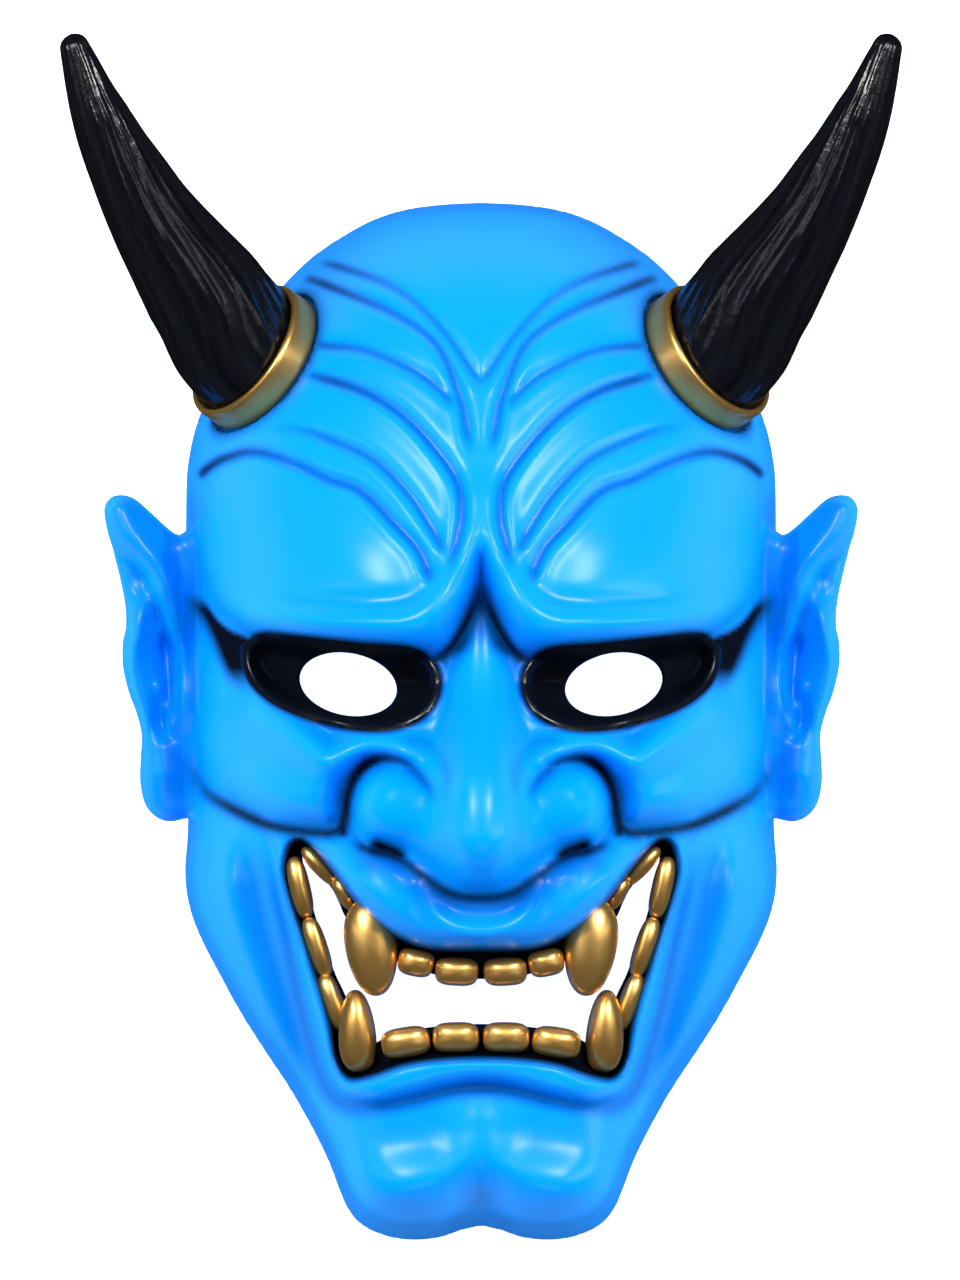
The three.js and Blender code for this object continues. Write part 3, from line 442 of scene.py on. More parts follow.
# %% Forehead and brow
FOREHEAD_TOP = {-5: 88, 5: 88, 20: 85, 40: 83, 60: 82, 80: 82, 110: 82}
BROW_HEIGHT = {0: 2.8, 0.3: 3.4, 0.6: 3.4, 0.8: 2.3, 1: 1}
BROW_STROKES = (
    (BROW_CREST, BROW_HEIGHT, (4, 6), (0.06, 0.1), 20),
    (PAD_EDGE, -0.9, 2.4, (0.3, 0.2), 12),
)
BROW_PAD, BROW_PAD_RISE = {"middle": (29, 20), "radii": (22, 15)}, 3
BROW_ROUNDING, TEMPLE_ROUNDING = (9, 15, 12), (5, 5)
FROWN_DEPTH, FROWN_WIDTH = 1.4, 1.6
# depth of a crease, the fade at its outer and inner end, and the height of the flesh below it
FOLD_DEPTHS = {
    "crown": (1.2, (0.15, 0.05), 0.3),
    "second": (1.5, (0.15, 0.1), 0.4),
    "short": (1.2, (0.2, 0.12), 0.3),
    "hook": (1.9, (0.1, 0.12), 0.5),
    "upper pad": (1.6, (0.3, 0.1), 0.5),
    "lower pad": (1.9, (0.06, 0.06), 0.6),
}
FOLD_WIDTH, FLESH_WIDTH, FLESH_SHIFT, FOLD_REACH = (2.0, 1.1), 1.6, 2.6, 16


def forehead(x, y, share):
    h = dome(share, level(y, FOREHEAD_TOP), UPPER_POWER)
    for row in BROW_STROKES:
        h += stroke(x, y, *row)
    h += BROW_PAD_RISE * swelling(x, y, **BROW_PAD)
    for name, (depth, fade, flesh) in FOLD_DEPTHS.items():
        h -= stroke(x, y, FOLDS[name], depth, FOLD_WIDTH, fade, FOLD_REACH)
        h += stroke(x, y, FOLDS[name], flesh, FLESH_WIDTH, fade, FOLD_REACH, FLESH_SHIFT)
    gap, _ = near(BROW_EDGE, x, y)
    hang = 1 - ramp(y, 8, 28) * (1 - ramp(x, 6, 14))
    h += border(gap, *BROW_ROUNDING) * hang
    gap, _ = near(TEMPLE_EDGE, x, y)
    h += border(gap, *TEMPLE_ROUNDING) * ramp(y, 40, 32) * ramp(x, 55, 63)
    return h - FROWN_DEPTH * bump(x, FROWN_WIDTH) * ramp(y, 0, 8) * ramp(y, 26, 18)


# %% [markdown]
# ## The whole front
# The layers are laid over each other from the lowest to the highest. Between them the fold under the eye
# and the nostrils are carved, the eye socket is sunk behind its rolled rim, and the gum channel is cut, in
# which the teeth will stand. At last the height has to meet the steep side wall of the shell. The order
# matters: a layer that is laid on later isn't cut by what was carved before it, which is why the forehead
# comes last.

# %% Height of the front
EYE_RIM = spline([
    (58.5, -2.4), (54, 0), (45, -0.8), (30, -2.5), (18, -3.5), (13, -6.4), (11.2, -10.5), (12.2, -15.2),
    (16, -19.3), (23.5, -21.6), (33, -21.2), (42, -19), (50.2, -15.6), (55.6, -11.4), (58.1, -7),
    (58.5, -2.4),
])
CHEEK_FOLD = spline([
    (61, -12.5), (55, -19), (46, -25), (39, -30), (34.5, -29.6), (30, -28), (25, -27.2), (20, -27.6),
    (15, -30), (11.6, -34.5), (9.8, -40.5),
])
NOSTRIL = spline([(28.5, -50.6), (24.5, -51.7), (20.5, -53.4), (17, -56)])
GUM_HALF = [
    (0, -77.5), (13, -77), (22, -73.5), (28, -69), (32, -64.5), (37, -57.8), (41, -53), (44.5, -50),
    (47.5, -51.5), (48.8, -58), (46.8, -66.5), (44.6, -73), (42.2, -80.5), (39.8, -88), (37.4, -96.5),
    (36, -104), (33, -109.2), (27, -108.5), (20, -106), (11.5, -104.5), (0, -104),
]
GUM_RING = smooth_ring(both_halves(GUM_HALF))
FRONT_POWER = {-150: 5, -130: 4.4, -100: 3.3, -60: 2.7, -20: 2.4, 40: 2.4, 110: 2.3}
CHEEK_STROKES = (
    (CHEEK_FOLD, {0: 4, 0.4: 4.4, 0.6: 4, 1: 2.6}, {0.3: 5, 0.5: 4}, (0.1, 0.15), 16),
    (CHEEK_FOLD, -2, 3, (0.1, 0.55), 16, -6.5),
)
NOSTRIL_STROKE = (NOSTRIL, -5, 2, (0.35, 0.35), 10)
SIDE_SLOPE = 12
GUM_DEPTH = 9
RIM_RISE, RIM_WIDTH, SOCKET_DEPTH, SOCKET_SHOULDER = 2, 1.6, 5.5, 4
# how soft each seam is between one layer and those below it
SEAMS = {"lip": 1.5, "cheek": 2, "muzzle": 3, "nose": 2.5, "forehead": 1.2, "side": 3}


def front_height(x, y):
    share, radius = outline_share(x, y)
    power = level(y, FRONT_POWER)
    h = blend(jaw(x, y, share, power), lower_lip(x, y, share, power), SEAMS["lip"])
    h = blend(h, cheek(x, y, share), SEAMS["cheek"])
    h = blend(h, muzzle(x, y), SEAMS["muzzle"])
    for row in CHEEK_STROKES:
        h += stroke(x, y, *row)
    h = blend(h, nose(x, y), SEAMS["nose"]) + stroke(x, y, *NOSTRIL_STROKE)
    rim = ring_distance(EYE_RIM, x, y)
    h += RIM_RISE * bump(rim, RIM_WIDTH) - SOCKET_DEPTH * ramp(rim, 0, SOCKET_SHOULDER)
    h -= GUM_DEPTH * ramp(ring_distance(GUM_RING, x, y), -1, 1.5)
    h = blend(h, forehead(x, y, share), SEAMS["forehead"])
    return meet(h, SIDE_SLOPE * (1 - share) * radius, SEAMS["side"])


# %% [markdown]
# ## Maps
# The field will be asked for its value millions of times, and the strokes are slow to work out. So the
# height is worked out once on a fine grid of half the mask, and any point is then read from the grid. The
# nearest value would give steps and a straight line between two would give facets, so a cubic weighting of
# sixteen neighbours is used, which keeps the surface and its slope smooth.

# %% Maps
STEP = 0.4
GRID_X, GRID_Y = (-14, 104), (-166, 122)


class Map:
    """Values on a grid of the right half, read at any place of either half."""

    def __init__(self, values, step):
        self.values, self.step = values, step

    def at(self, x, y):
        fx = np.clip((np.abs(x) - GRID_X[0]) / self.step, 1, self.values.shape[0] - 3)
        fy = np.clip((y - GRID_Y[0]) / self.step, 1, self.values.shape[1] - 3)
        i, j = fx.astype(int), fy.astype(int)
        out = 0
        wx, wy = self.weights(fx - i), self.weights(fy - j)
        for a in range(4):
            for b in range(4):
                out = out + wx[a] * wy[b] * self.values[i + a - 1, j + b - 1]
        return out

    @staticmethod
    def weights(t):
        """The shares of four neighbours in a cubic B-spline."""
        inner = (3 * t**3 - 6 * t**2 + 4) / 6, (-3 * t**3 + 3 * t**2 + 3 * t + 1) / 6
        return (1 - t) ** 3 / 6, *inner, t**3 / 6


def half_grid(step):
    return np.meshgrid(np.arange(*GRID_X, step), np.arange(*GRID_Y, step), indexing="ij")


def slope_of(values, step):
    dx, dy = np.gradient(values, step)
    return np.sqrt(1 + dx * dx + dy * dy)


def soften(values):
    """Rounds every edge a little, as lacquer does, by a running average over the grid."""
    for axis in (0, 1):
        values = (
            np.roll(values, 2, axis) + 4 * np.roll(values, 1, axis) + 6 * values
            + 4 * np.roll(values, -1, axis) + np.roll(values, -2, axis)
        ) / 16
    return values


# %% Map of the front
RIM_LAND = 1.2
LOWEST = -40
PAST_MIDDLE = 1.5
grid_x, grid_y = half_grid(STEP)
right = grid_x > -PAST_MIDDLE
height = np.full(grid_x.shape, float(LOWEST))
height[right] = np.maximum(front_height(np.abs(grid_x[right]), grid_y[right]), LOWEST)
middle_row = int(round(-GRID_X[0] / STEP))
# the strip past the middle mirrors the half itself, so no crease is left there when it is softened
for _ in range(2):
    for i in range(middle_row):
        height[i] = height[2 * middle_row - i]
    height = soften(height)
front_map = Map(height + RIM_LAND, STEP)
front_slope = Map(slope_of(height, STEP), STEP)
print("front height from", round(height[height > 0].min(), 1), "to", round(height.max() + RIM_LAND, 1))

# %% [markdown]
# ## The inside
# The inside of a moulded shell is plainer than its front. The front could be copied a little lower, but
# the wall would then be thin on every steep flank. A ball that is rolled under the front at the thickness
# of the wall leaves the right surface behind: narrow folds are bridged and no wall is too thin.

# %% Inside height
WALL = 3.5
INSIDE_BALL = 5
COARSE = 1.0


def ball_under(values, radius, step, grow):
    """Lowers (or raises) a height so that a ball of this radius would just touch it everywhere."""
    n = int(radius / step)
    out = np.full(values.shape, np.inf)
    padded = np.pad(values, n, mode="edge")
    for i in range(-n, n + 1):
        for j in range(-n, n + 1):
            flat = (i * i + j * j) * step * step
            if flat > radius * radius:
                continue
            part = padded[n + i:n + i + values.shape[0], n + j:n + j + values.shape[1]]
            lift = np.sqrt(radius * radius - flat)
            out = np.minimum(out, -part - lift if grow else part - lift)
    return -out if grow else out


coarse_x, coarse_y = half_grid(COARSE)
under = ball_under(front_map.at(coarse_x, coarse_y), WALL + INSIDE_BALL, COARSE, False)
under = ball_under(under, INSIDE_BALL, COARSE, True)
inside_map, inside_slope = Map(under, COARSE), Map(slope_of(under, COARSE), COARSE)
print("inside height up to", round(float(under.max()), 1))

# %% [markdown]
# ## Openings
# The wearer looks through two tilted oval holes, and the mouth is open between the rows of teeth. Each
# opening is a distance in the plan, positive inside it, and will be cut straight through the shell. A
# boolean on the finished mesh could cut it too, but it would leave a sharp edge.

# %% Eye holes and mouth
EYE = {"x": 33, "y": -11.4, "long": 12.2, "short": 7.7, "tilt": 0.19}
MOUTH_HALF = [
    (0, -84.6), (6, -85), (12, -83.4), (20.6, -80.4), (27, -76), (33.2, -70), (35.4, -65.5), (37.4, -61.8),
    (41, -57.6), (44.4, -52.8), (44, -57), (42.4, -63.5), (41.2, -69), (38.6, -76.3), (36.4, -83),
    (33.6, -89), (30.5, -97), (27.5, -100.8), (24.5, -99.6), (19, -97.8), (11.8, -96.5), (0, -95.8),
]
MOUTH_RING = smooth_ring(both_halves(MOUTH_HALF))


def eye_hole(x, y):
    dx, dy = np.abs(x) - EYE["x"], y - EYE["y"]
    u = dx * np.cos(EYE["tilt"]) + dy * np.sin(EYE["tilt"])
    v = dy * np.cos(EYE["tilt"]) - dx * np.sin(EYE["tilt"])
    q = np.sqrt((u / EYE["long"]) ** 2 + (v / EYE["short"]) ** 2)
    slope = np.sqrt((u / EYE["long"] ** 2) ** 2 + (v / EYE["short"] ** 2) ** 2) / np.maximum(q, 1e-3)
    return (1 - q) / np.maximum(slope, 1e-3)


opening = np.maximum(eye_hole(grid_x, grid_y), ring_distance(MOUTH_RING, grid_x, grid_y))
opening_map = Map(opening, STEP)
print("share of the grid that is open:", round(float((opening > 0).mean()), 3))

# %% [markdown]
# ## Ears
# An ear is a leaf with a rolled upper edge, a second fold inside it and a soft lobe. It is a relief like the
# face, but it has a back as well, so it is described by two heights that meet at its own outline.

# %% Ear lines
EAR_EDGE = [
    (66, 27), (73, 27.1), (75, 26), (76.5, 26.4), (79, 28.4), (82.8, 31.9), (86.5, 34.9), (89.9, 35.8),
    (92.6, 34.9), (94, 31.5), (92.4, 23.4), (89.6, 12.8), (88.4, 4), (89.3, -1), (89.3, -6.6), (87.8, -13.5),
    (85.9, -18.5), (84.7, -23.5), (84.8, -28.5), (85.1, -35.4), (84, -41), (81.5, -44.4), (77.8, -45.8),
    (72.8, -44.8), (66, -43.5),
]
EAR_RING = smooth_ring(EAR_EDGE)
HELIX = spline([
    (90.5, 32.5), (88.4, 27.8), (84.6, 22.5), (80.9, 17.8), (78, 12.1), (76.4, 4), (75.8, -4), (75.4, -12),
])
HELIX_UNDER = spline([
    (93, 23), (91.5, 22.5), (86.5, 19), (83.5, 14.6), (81.2, 9.6), (79.7, 5), (77.8, -0.5), (76.4, -7),
    (76.3, -12),
])
SECOND_FOLD = spline([(82, 11), (86, 2.5), (87.2, -5), (86, -12), (83.5, -19), (80.5, -27), (79.5, -33)])
CONCHA = spline([(79, 3), (78.5, -5), (77.8, -12), (79.5, -20), (78, -27)])
CONCHA_FOLD = spline([(81, -9), (79.6, -13), (78.2, -19), (76.6, -25)])

# %% Ear heights
EAR_STROKES = (
    (HELIX, {0: 4, 0.3: 6, 0.7: 5, 1: 1}, {0: 4.5, 0.3: 4.5, 1: 2.2}),
    (HELIX_UNDER, {0: -2, 0.2: -4, 0.8: -4, 1: 0}, (1.8, 1.8 / 0.55)),
    (SECOND_FOLD, {0: 2.5, 0.3: 5, 1: 2}, {0: 3, 1: 5}),
    (CONCHA, -4.5, 2.4, (0.2, 0.2)),
    (CONCHA_FOLD, 2.2, 1.3, (0.2, 0.2)),
)
EAR_ROOT, ROOT_RISE = {"middle": (74, -16), "radii": (3.5, 7)}, 3.5
EAR_LOBE, LOBULE_RISE = {"middle": (79.5, -36), "radii": (6, 8)}, 2.5
EAR_BACK, BACK_RISE = {"middle": (82, 0), "radii": (8, 22)}, 2.5
EAR_HALF_THICKNESS = 4.2
EAR_TOP, EAR_TOP_Y, EAR_DROP = 27, 26, 0.09
EAR_EDGE_HEIGHT, EAR_EDGE_SLOPE, PAST_EDGE_SLOPE = 2.7, 2.3, 12
STEEPEST = 3


def ear_heights(x, y):
    """The front and the back of the ear, and how far a place is inside its outline."""
    edge = ring_distance(EAR_RING, x, y)
    middle = EAR_TOP - EAR_DROP * np.maximum(0, EAR_TOP_Y - y)
    thick = EAR_HALF_THICKNESS * np.sqrt(1 - (1 - np.clip(edge / EAR_HALF_THICKNESS, 0, 1)) ** 2)
    front = middle + thick
    for row in EAR_STROKES:
        front += stroke(x, y, *row)
    front += ROOT_RISE * swelling(x, y, **EAR_ROOT) + LOBULE_RISE * swelling(x, y, **EAR_LOBE)
    front = np.minimum(front, middle + EAR_EDGE_HEIGHT + EAR_EDGE_SLOPE * np.maximum(edge, -2))
    back = middle - thick - BACK_RISE * swelling(x, y, **EAR_BACK)
    lowered = PAST_EDGE_SLOPE * np.minimum(edge, 0)
    return front + lowered, back - lowered, edge


ear_front, ear_back, ear_edge = ear_heights(grid_x, grid_y)
ear_front_map, ear_back_map = Map(ear_front, STEP), Map(ear_back, STEP)
ear_front_slope, ear_back_slope = (
    Map(np.minimum(slope_of(side, STEP), STEEPEST), STEP) for side in (ear_front, ear_back)
)
print("ear reaches x =", round(float(grid_x[ear_edge > 0].max()), 1))

# %% [markdown]
# ## The shell as a field
# Every part of the shell is now a signed distance: positive inside the material and negative outside. Two
# bodies are joined by a soft maximum, which gives each seam a fillet, and a hollow is cut by a soft
# minimum, which rounds its edge as paint and moulding do. Meshes would need booleans and bevels for that,
# which are hard to keep clean where forms flow into each other. Each horn stands on a round seat, which is
# a short cylinder along the horn's axis, and the room above it is kept clear for the horn and its band.

# %% Field of the shell
HORN_SEAT = {"middle": np.array([53.5, 68.0, 37.0]), "radius": 19.4, "depth": 14, "margin": 0.6, "room": 22}
HORN_TURN, HORN_RISE = np.radians(35), np.radians(27)
HORN_AXIS = np.array([
    np.cos(HORN_RISE) * np.cos(HORN_TURN), np.cos(HORN_RISE) * np.sin(HORN_TURN), np.sin(HORN_RISE),
])
EAR_FILLET, SEAT_FILLET, SEAT_EDGE, SHARP_EDGE, OPENING_EDGE = 3, 2, 1, 0.6, 1.2


def from_seat(x, y, z):
    """How high a place stands along the horn's axis, and how far it is from that axis."""
    gaps = [place - middle for place, middle in zip((x, y, z), HORN_SEAT["middle"])]
    rise = sum(gap * part for gap, part in zip(gaps, HORN_AXIS))
    return rise, np.sqrt(np.maximum(sum(gap * gap for gap in gaps) - rise * rise, 0))


def columns(x, y):
    """Everything that depends only on the place in the plan."""
    return {
        "x": np.abs(x), "y": y,
        "front": front_map.at(x, y), "front_slope": front_slope.at(x, y),
        "inside": inside_map.at(x, y), "inside_slope": inside_slope.at(x, y),
        "opening": opening_map.at(x, y),
        "ear_front": ear_front_map.at(x, y), "ear_front_slope": ear_front_slope.at(x, y),
        "ear_back": ear_back_map.at(x, y), "ear_back_slope": ear_back_slope.at(x, y),
    }


def shell(c, z):
    front = (c["front"] - z) / c["front_slope"]
    ear = np.minimum((c["ear_front"] - z) / c["ear_front_slope"], (z - c["ear_back"]) / c["ear_back_slope"])
    rise, across = from_seat(c["x"], c["y"], z)
    seat = meet(HORN_SEAT["radius"] - across, -rise, SEAT_EDGE)
    seat = np.minimum(seat, rise + HORN_SEAT["depth"])
    body = blend(blend(front, ear, EAR_FILLET), seat, SEAT_FILLET)
    inside = (c["inside"] - z) / c["inside_slope"]
    body = meet(body, -inside, SHARP_EDGE)
    above_seat = np.minimum(rise, HORN_SEAT["room"] - rise)
    above_seat = np.minimum(HORN_SEAT["radius"] + HORN_SEAT["margin"] - across, above_seat)
    body = meet(body, -above_seat, SHARP_EDGE)
    body = meet(body, -c["opening"], OPENING_EDGE)
    return np.minimum(body, z)


# %% [markdown]
# ## The skin
# The field is sampled on a grid of cells and its zero is turned into a mesh of small faces. That mesh is
# only about right, so every vertex is then moved along the field's slope until it lies on the true surface,
# and the slope itself becomes the vertex normal. Even cells then shade as one smooth form.

# %% Mesh of the shell
CELL = 1.0
FIELD_LOW, FIELD_HIGH = np.array([-97.0, -153, -3]), np.array([97.0, 112, 106])
FIELD_DEPTH = 3


def build_skin(cell):
    count = np.ceil((FIELD_HIGH - FIELD_LOW) / cell).astype(int)
    x, y, z = (FIELD_LOW[k] + cell * np.arange(count[k]) for k in range(3))
    plan = columns(*np.meshgrid(x, y, indexing="ij"))
    plan = {name: values[:, :, None] for name, values in plan.items()}
    values = -shell(plan, z[None, None, :])
    grid = vdb.FloatGrid()
    grid.background = float(FIELD_DEPTH)
    grid.copyFromArray(np.clip(values, -FIELD_DEPTH, FIELD_DEPTH).astype(np.float32))
    points, _, quads = grid.convertToPolygons(isovalue=0.0, adaptivity=0.0)
    return FIELD_LOW + cell * points.astype(float), quads


def shell_at(p):
    return shell(columns(p[:, 0], p[:, 1]), p[:, 2])


def shell_slope(p, gap):
    """The field's slope at each place, from two readings at this gap along each axis."""
    out = np.empty(p.shape)
    for axis in range(3):
        step = np.zeros(3)
        step[axis] = gap
        out[:, axis] = (shell_at(p + step) - shell_at(p - step)) / (2 * gap)
    return out


points, quads = build_skin(CELL)
print("skin:", len(points), "points,", 2 * len(quads), "triangles")

# %% Vertices on the true surface
ROUNDS, LONGEST_MOVE = 3, 0.5
MOVE_GAP, NORMAL_GAP = 0.15, 0.25
ON_TABLE = 0.02

slope = shell_slope(points, MOVE_GAP)
for _ in range(ROUNDS):
    size = np.maximum((slope**2).sum(1), 0.05)
    move = -shell_at(points) / size
    points += np.clip(move, -LONGEST_MOVE, LONGEST_MOVE)[:, None] * slope
slope = shell_slope(points, NORMAL_GAP)
skin_normals = -slope / np.maximum(np.linalg.norm(slope, axis=1), 1e-6)[:, None]
points[points[:, 2] < ON_TABLE, 2] = 0
left_over = np.abs(shell_at(points))
print("left over:", round(float(left_over.mean()), 4), "mm, and at most", round(float(left_over.max()), 2))


# %% Mesh objects
def mesh_object(name, verts, faces, normals=None):
    """A smooth mesh object from places in millimetres."""
    mesh = bpy.data.meshes.new(name)
    mesh.from_pydata([tuple(v) for v in np.asarray(verts) * MM], [], [tuple(map(int, f)) for f in faces])
    mesh.validate()
    mesh.update()
    mesh.shade_smooth()
    if normals is not None:
        mesh.normals_split_custom_set_from_vertices([tuple(n) for n in normals])
    obj = bpy.data.objects.new(name, mesh)
    bpy.context.scene.collection.objects.link(obj)
    return obj


def add_values(obj, name, values):
    layer = obj.data.attributes.new(name, "FLOAT", "POINT")
    layer.data.foreach_set("value", np.asarray(values, np.float32))


# %% [markdown]
# ## Black paint, painted shadow and painted shade
# Black is sprayed into the eye sockets and along the teeth, and a little is drawn out of the deep folds.
# Black is also painted as shadow under the cheek's edge, round the nose wings, in the nostrils, under the
# brow and the nose and round the foot of each band, and the hollows and the undersides of the nose and brow
# are painted a deeper blue as shade. An image would have to be unwrapped onto the mask, so the paint is kept
# as values on the vertices instead: one mask holds the black spray with the painted shadow, `shade` the
# painted shade in a deeper blue, `socket` and `gum` are distances whose borders the finish draws sharply, and
# `matt` marks where the lacquer shines less.

# %% Black spray and painted shadow
SPRAY_EDGE = spline([(73, 12), (69.5, 7), (66.3, 1), (63.5, -5.5), (60.5, -11), (56, -16)])
BROW_HOLLOW = spline([
    (20, -5.4), (14.5, -5.9), (10, -4.8), (6.9, -1.4), (4.5, 2.6), (2.4, 7), (0.9, 11), (0, 15),
])
UNDER_NOSE = spline([
    (31.6, -48), (30.2, -50.4), (27, -51.9), (22, -52.9), (17.6, -55.4), (12.6, -59.3), (7, -62.6),
    (0, -63.6), (-6, -62.8),
])
# painted shadow in black under the cheek's edge, round the nose wing, under the brow's inner end, in the
# nostril and under the nose: rows as for the carved strokes, with the share of black in place of the height
PAINTED_SHADOW_STROKES = (
    (CHEEK_EDGE, 0.95, 2.0, (0.35, 0.3), 12),
    (WING_CREASE, 1.0, 1.7, (0.05, 0.6), 12),
    (BROW_HOLLOW, 0.95, 1.5, (0.2, 0.3), 12),
    (NOSTRIL, 1.0, 1.5, (0.25, 0.3), 12),
    (UNDER_NOSE, 0.85, 1.5, (0.1, 0), 12, 0.8),
)
# the outer end of a fold is black for a share of its length, and blue from there
BLACK_ENDS = {
    "crown": (0.55, 0.5), "second": (0.7, 0.45), "short": (0.45, 0.4), "hook": (0.55, 0.4),
    "lower pad": (0.85, 0.4),
}
BAND_SHADOW = {"radius": 19.6, "width": 2.4, "amount": 0.9}

px, py, pz = np.abs(points[:, 0]), points[:, 1], points[:, 2]
outside = ramp(skin_normals[:, 2], -0.25, 0.05) * ramp(pz, 18, 32)
rim, gum = ring_distance(EYE_RIM, px, py), ring_distance(GUM_RING, px, py)
brow_gap, _ = near(BROW_EDGE, px, py, 12)
spray, _ = near(SPRAY_EDGE, px, py)
# the black that runs from the outer corner of the eye up under the brow
black_spray_and_shadow = ramp(brow_gap, 1.2, -0.8) * ramp(spray, -3.5, 0.5)
black_spray_and_shadow *= ramp(py, -15, -7) * ramp(py, 12, 7) * ramp(px, 52, 56)
for row in PAINTED_SHADOW_STROKES:
    black_spray_and_shadow = np.maximum(black_spray_and_shadow, stroke(px, py, *row))
for name, (amount, length) in BLACK_ENDS.items():
    gap, at = near(FOLDS[name], px, py, 12)
    black_spray_and_shadow = np.maximum(black_spray_and_shadow, amount * ramp(at, 0, 0.03) * ramp(at, length, 0) * bump(gap, 1.3))
# a painted contact shadow in black round the foot of each band
rise, across = from_seat(px, py, pz)
from_ring = np.hypot(across - BAND_SHADOW["radius"], np.maximum(rise, 0) + 0.5 * np.minimum(rise, 0))
black_spray_and_shadow = np.maximum(black_spray_and_shadow, BAND_SHADOW["amount"] * bump(from_ring, BAND_SHADOW["width"]))
black_spray_and_shadow *= outside
print("share in soot:", round(float((black_spray_and_shadow > 0.3).mean()), 3))

# %% [markdown]
# ## Painted shade in the hollows
# The hollows are painted a deeper blue as the shade that falls in them. A hollow is found by comparing the
# height with a blurred copy of itself: the copy lies higher in a valley. A fine blur finds the folds and a
# wide one the broad hollows beside the nose and mouth, and the carved lines are gone over once more, with
# painted shade under the nose and the brow and beside the lower lip as well.

# %% Hollows
# rows as for the painted shadow, with the share of the deeper blue of the painted shade
SHADED = (
    (FOLDS["crown"], 0.7, 1.0, (0.1, 0.1), 8),
    (FOLDS["second"], 0.85, 1.1, (0.1, 0.1), 8),
    (FOLDS["short"], 0.8, 1.1, (0.1, 0.1), 8),
    (FOLDS["hook"], 0.9, 1.2, (0.1, 0.1), 8),
    (FOLDS["upper pad"], 0.8, 1.1, (0.3, 0.05), 8),
    (FOLDS["lower pad"], 0.9, 1.2, (0.05, 0.05), 8),
    (WING_CREASE, 0.9, 1.3, (0.1, 0.15), 8),
    (BROW_HOLLOW, 0.7, 3.0, (0.2, 0.1), 8),
    (BRIDGE_CREASE, 0.4, 1.2, (0.2, 0.3), 8),
    (LIP_BORDER, 0.8, 2.2, (0.2, 0), 12, 1.4),
    (UNDER_NOSE, 0.85, 3.4, (0.2, 0), 12, 3),
    (BROW_EDGE, 0.55, 3, (0.5, 0.25), 12, -1.5),
    (CHEEK_FOLD, 0.5, 3, (0.1, 0.55), 12, -6.5),
    (JAW_VALLEY, 0.65, 5, (0.2, 0.3), 12),
    (CHIN_HOLLOW, 0.15, 5, (0.3, 0.3), 12, -1),
)
FINE_BLUR, WIDE_BLUR = 60, 120
BLUR_FLOOR = 20
FINE_HOLLOW = {"depth": 2.2, "share": 0.7, "less on nose": 0.6}
WIDE_HOLLOW = {"from": 0.8, "to": 5.8, "share": 0.35, "less on nose": 0.7}
MATT_TIP = {"middle": (0, -57), "radii": (12, 6)}
FARTHEST = 12


def blurred(values, times):
    """Makes each inner value the mean of itself and its four neighbours, a number of times."""
    out = values.copy()
    for _ in range(times):
        out[1:-1, 1:-1] = 0.2 * (
            out[1:-1, 1:-1] + out[2:, 1:-1] + out[:-2, 1:-1] + out[1:-1, 2:] + out[1:-1, :-2]
        )
    return out


wide = Map(height, STEP).at(coarse_x, coarse_y)
fine_hollow = Map(blurred(height, FINE_BLUR) - height, STEP).at(px, py)
wide_hollow = Map(blurred(np.maximum(wide, BLUR_FLOOR), WIDE_BLUR) - wide, COARSE).at(px, py)
# painted shade: the deeper a hollow, the deeper its blue, less so on the nose and only where the skin faces
# up
on_nose = ramp(ring_distance(NOSE_RING, px, py), -1, 2)
fine_share = FINE_HOLLOW["share"] - FINE_HOLLOW["less on nose"] * on_nose
shade = np.clip(fine_hollow / FINE_HOLLOW["depth"], 0, 1) * fine_share
wide_shade = WIDE_HOLLOW["share"] * ramp(wide_hollow, WIDE_HOLLOW["from"], WIDE_HOLLOW["to"])
shade = np.maximum(shade, wide_shade * (1 - WIDE_HOLLOW["less on nose"] * on_nose))
shade *= ramp(skin_normals[:, 2], 0.3, 0.6)
for row in SHADED:
    shade = np.maximum(shade, stroke(px, py, *row))
shade *= outside
matt = np.maximum(ramp(oval(px, py, **WING), 1.25, 0.95), swelling(px, py, **MATT_TIP))
paint_masks = {
    "matt": matt * outside,
    "black_spray_and_shadow": black_spray_and_shadow,
    "socket": np.where(outside > 0.5, np.clip(rim, -FARTHEST, FARTHEST), -FARTHEST),
    "gum": np.where(outside > 0.5, np.clip(gum, -FARTHEST, FARTHEST), -FARTHEST),
    "shade": shade,
}
print("share in shade:", round(float((shade > 0.3).mean()), 3))

# %% [markdown]
# ## Three pieces of skin
# One skin would be a heavy mesh, so it is made as the carved front, the outer walls with the ears, and
# the inside. They share their border vertices and normals, so no seam shows between them. Where light
# grazes a flat face that stands for a curved one, Blender can draw a saw-toothed shadow, and the two
# offsets of the shadow terminator soften it. Smaller cells would do so too, but make the pieces heavier.

# %% Pieces of the skin
WALL_FROM = 0.93
SHADOW_OFFSETS = (0.3, 0.1)


def skin_piece(name, chosen):
    """The chosen faces with their own vertices, normals and paint masks."""
    corners = quads[chosen]
    used, renumbered = np.unique(corners, return_inverse=True)
    obj = mesh_object(name, points[used], renumbered.reshape(corners.shape), skin_normals[used])
    for mask, values in paint_masks.items():
        add_values(obj, mask, values[used])
    obj.cycles.shadow_terminator_geometry_offset, obj.cycles.shadow_terminator_offset = SHADOW_OFFSETS
    print(name + ":", len(obj.data.vertices), "points,", 2 * len(obj.data.polygons), "triangles")
    return obj


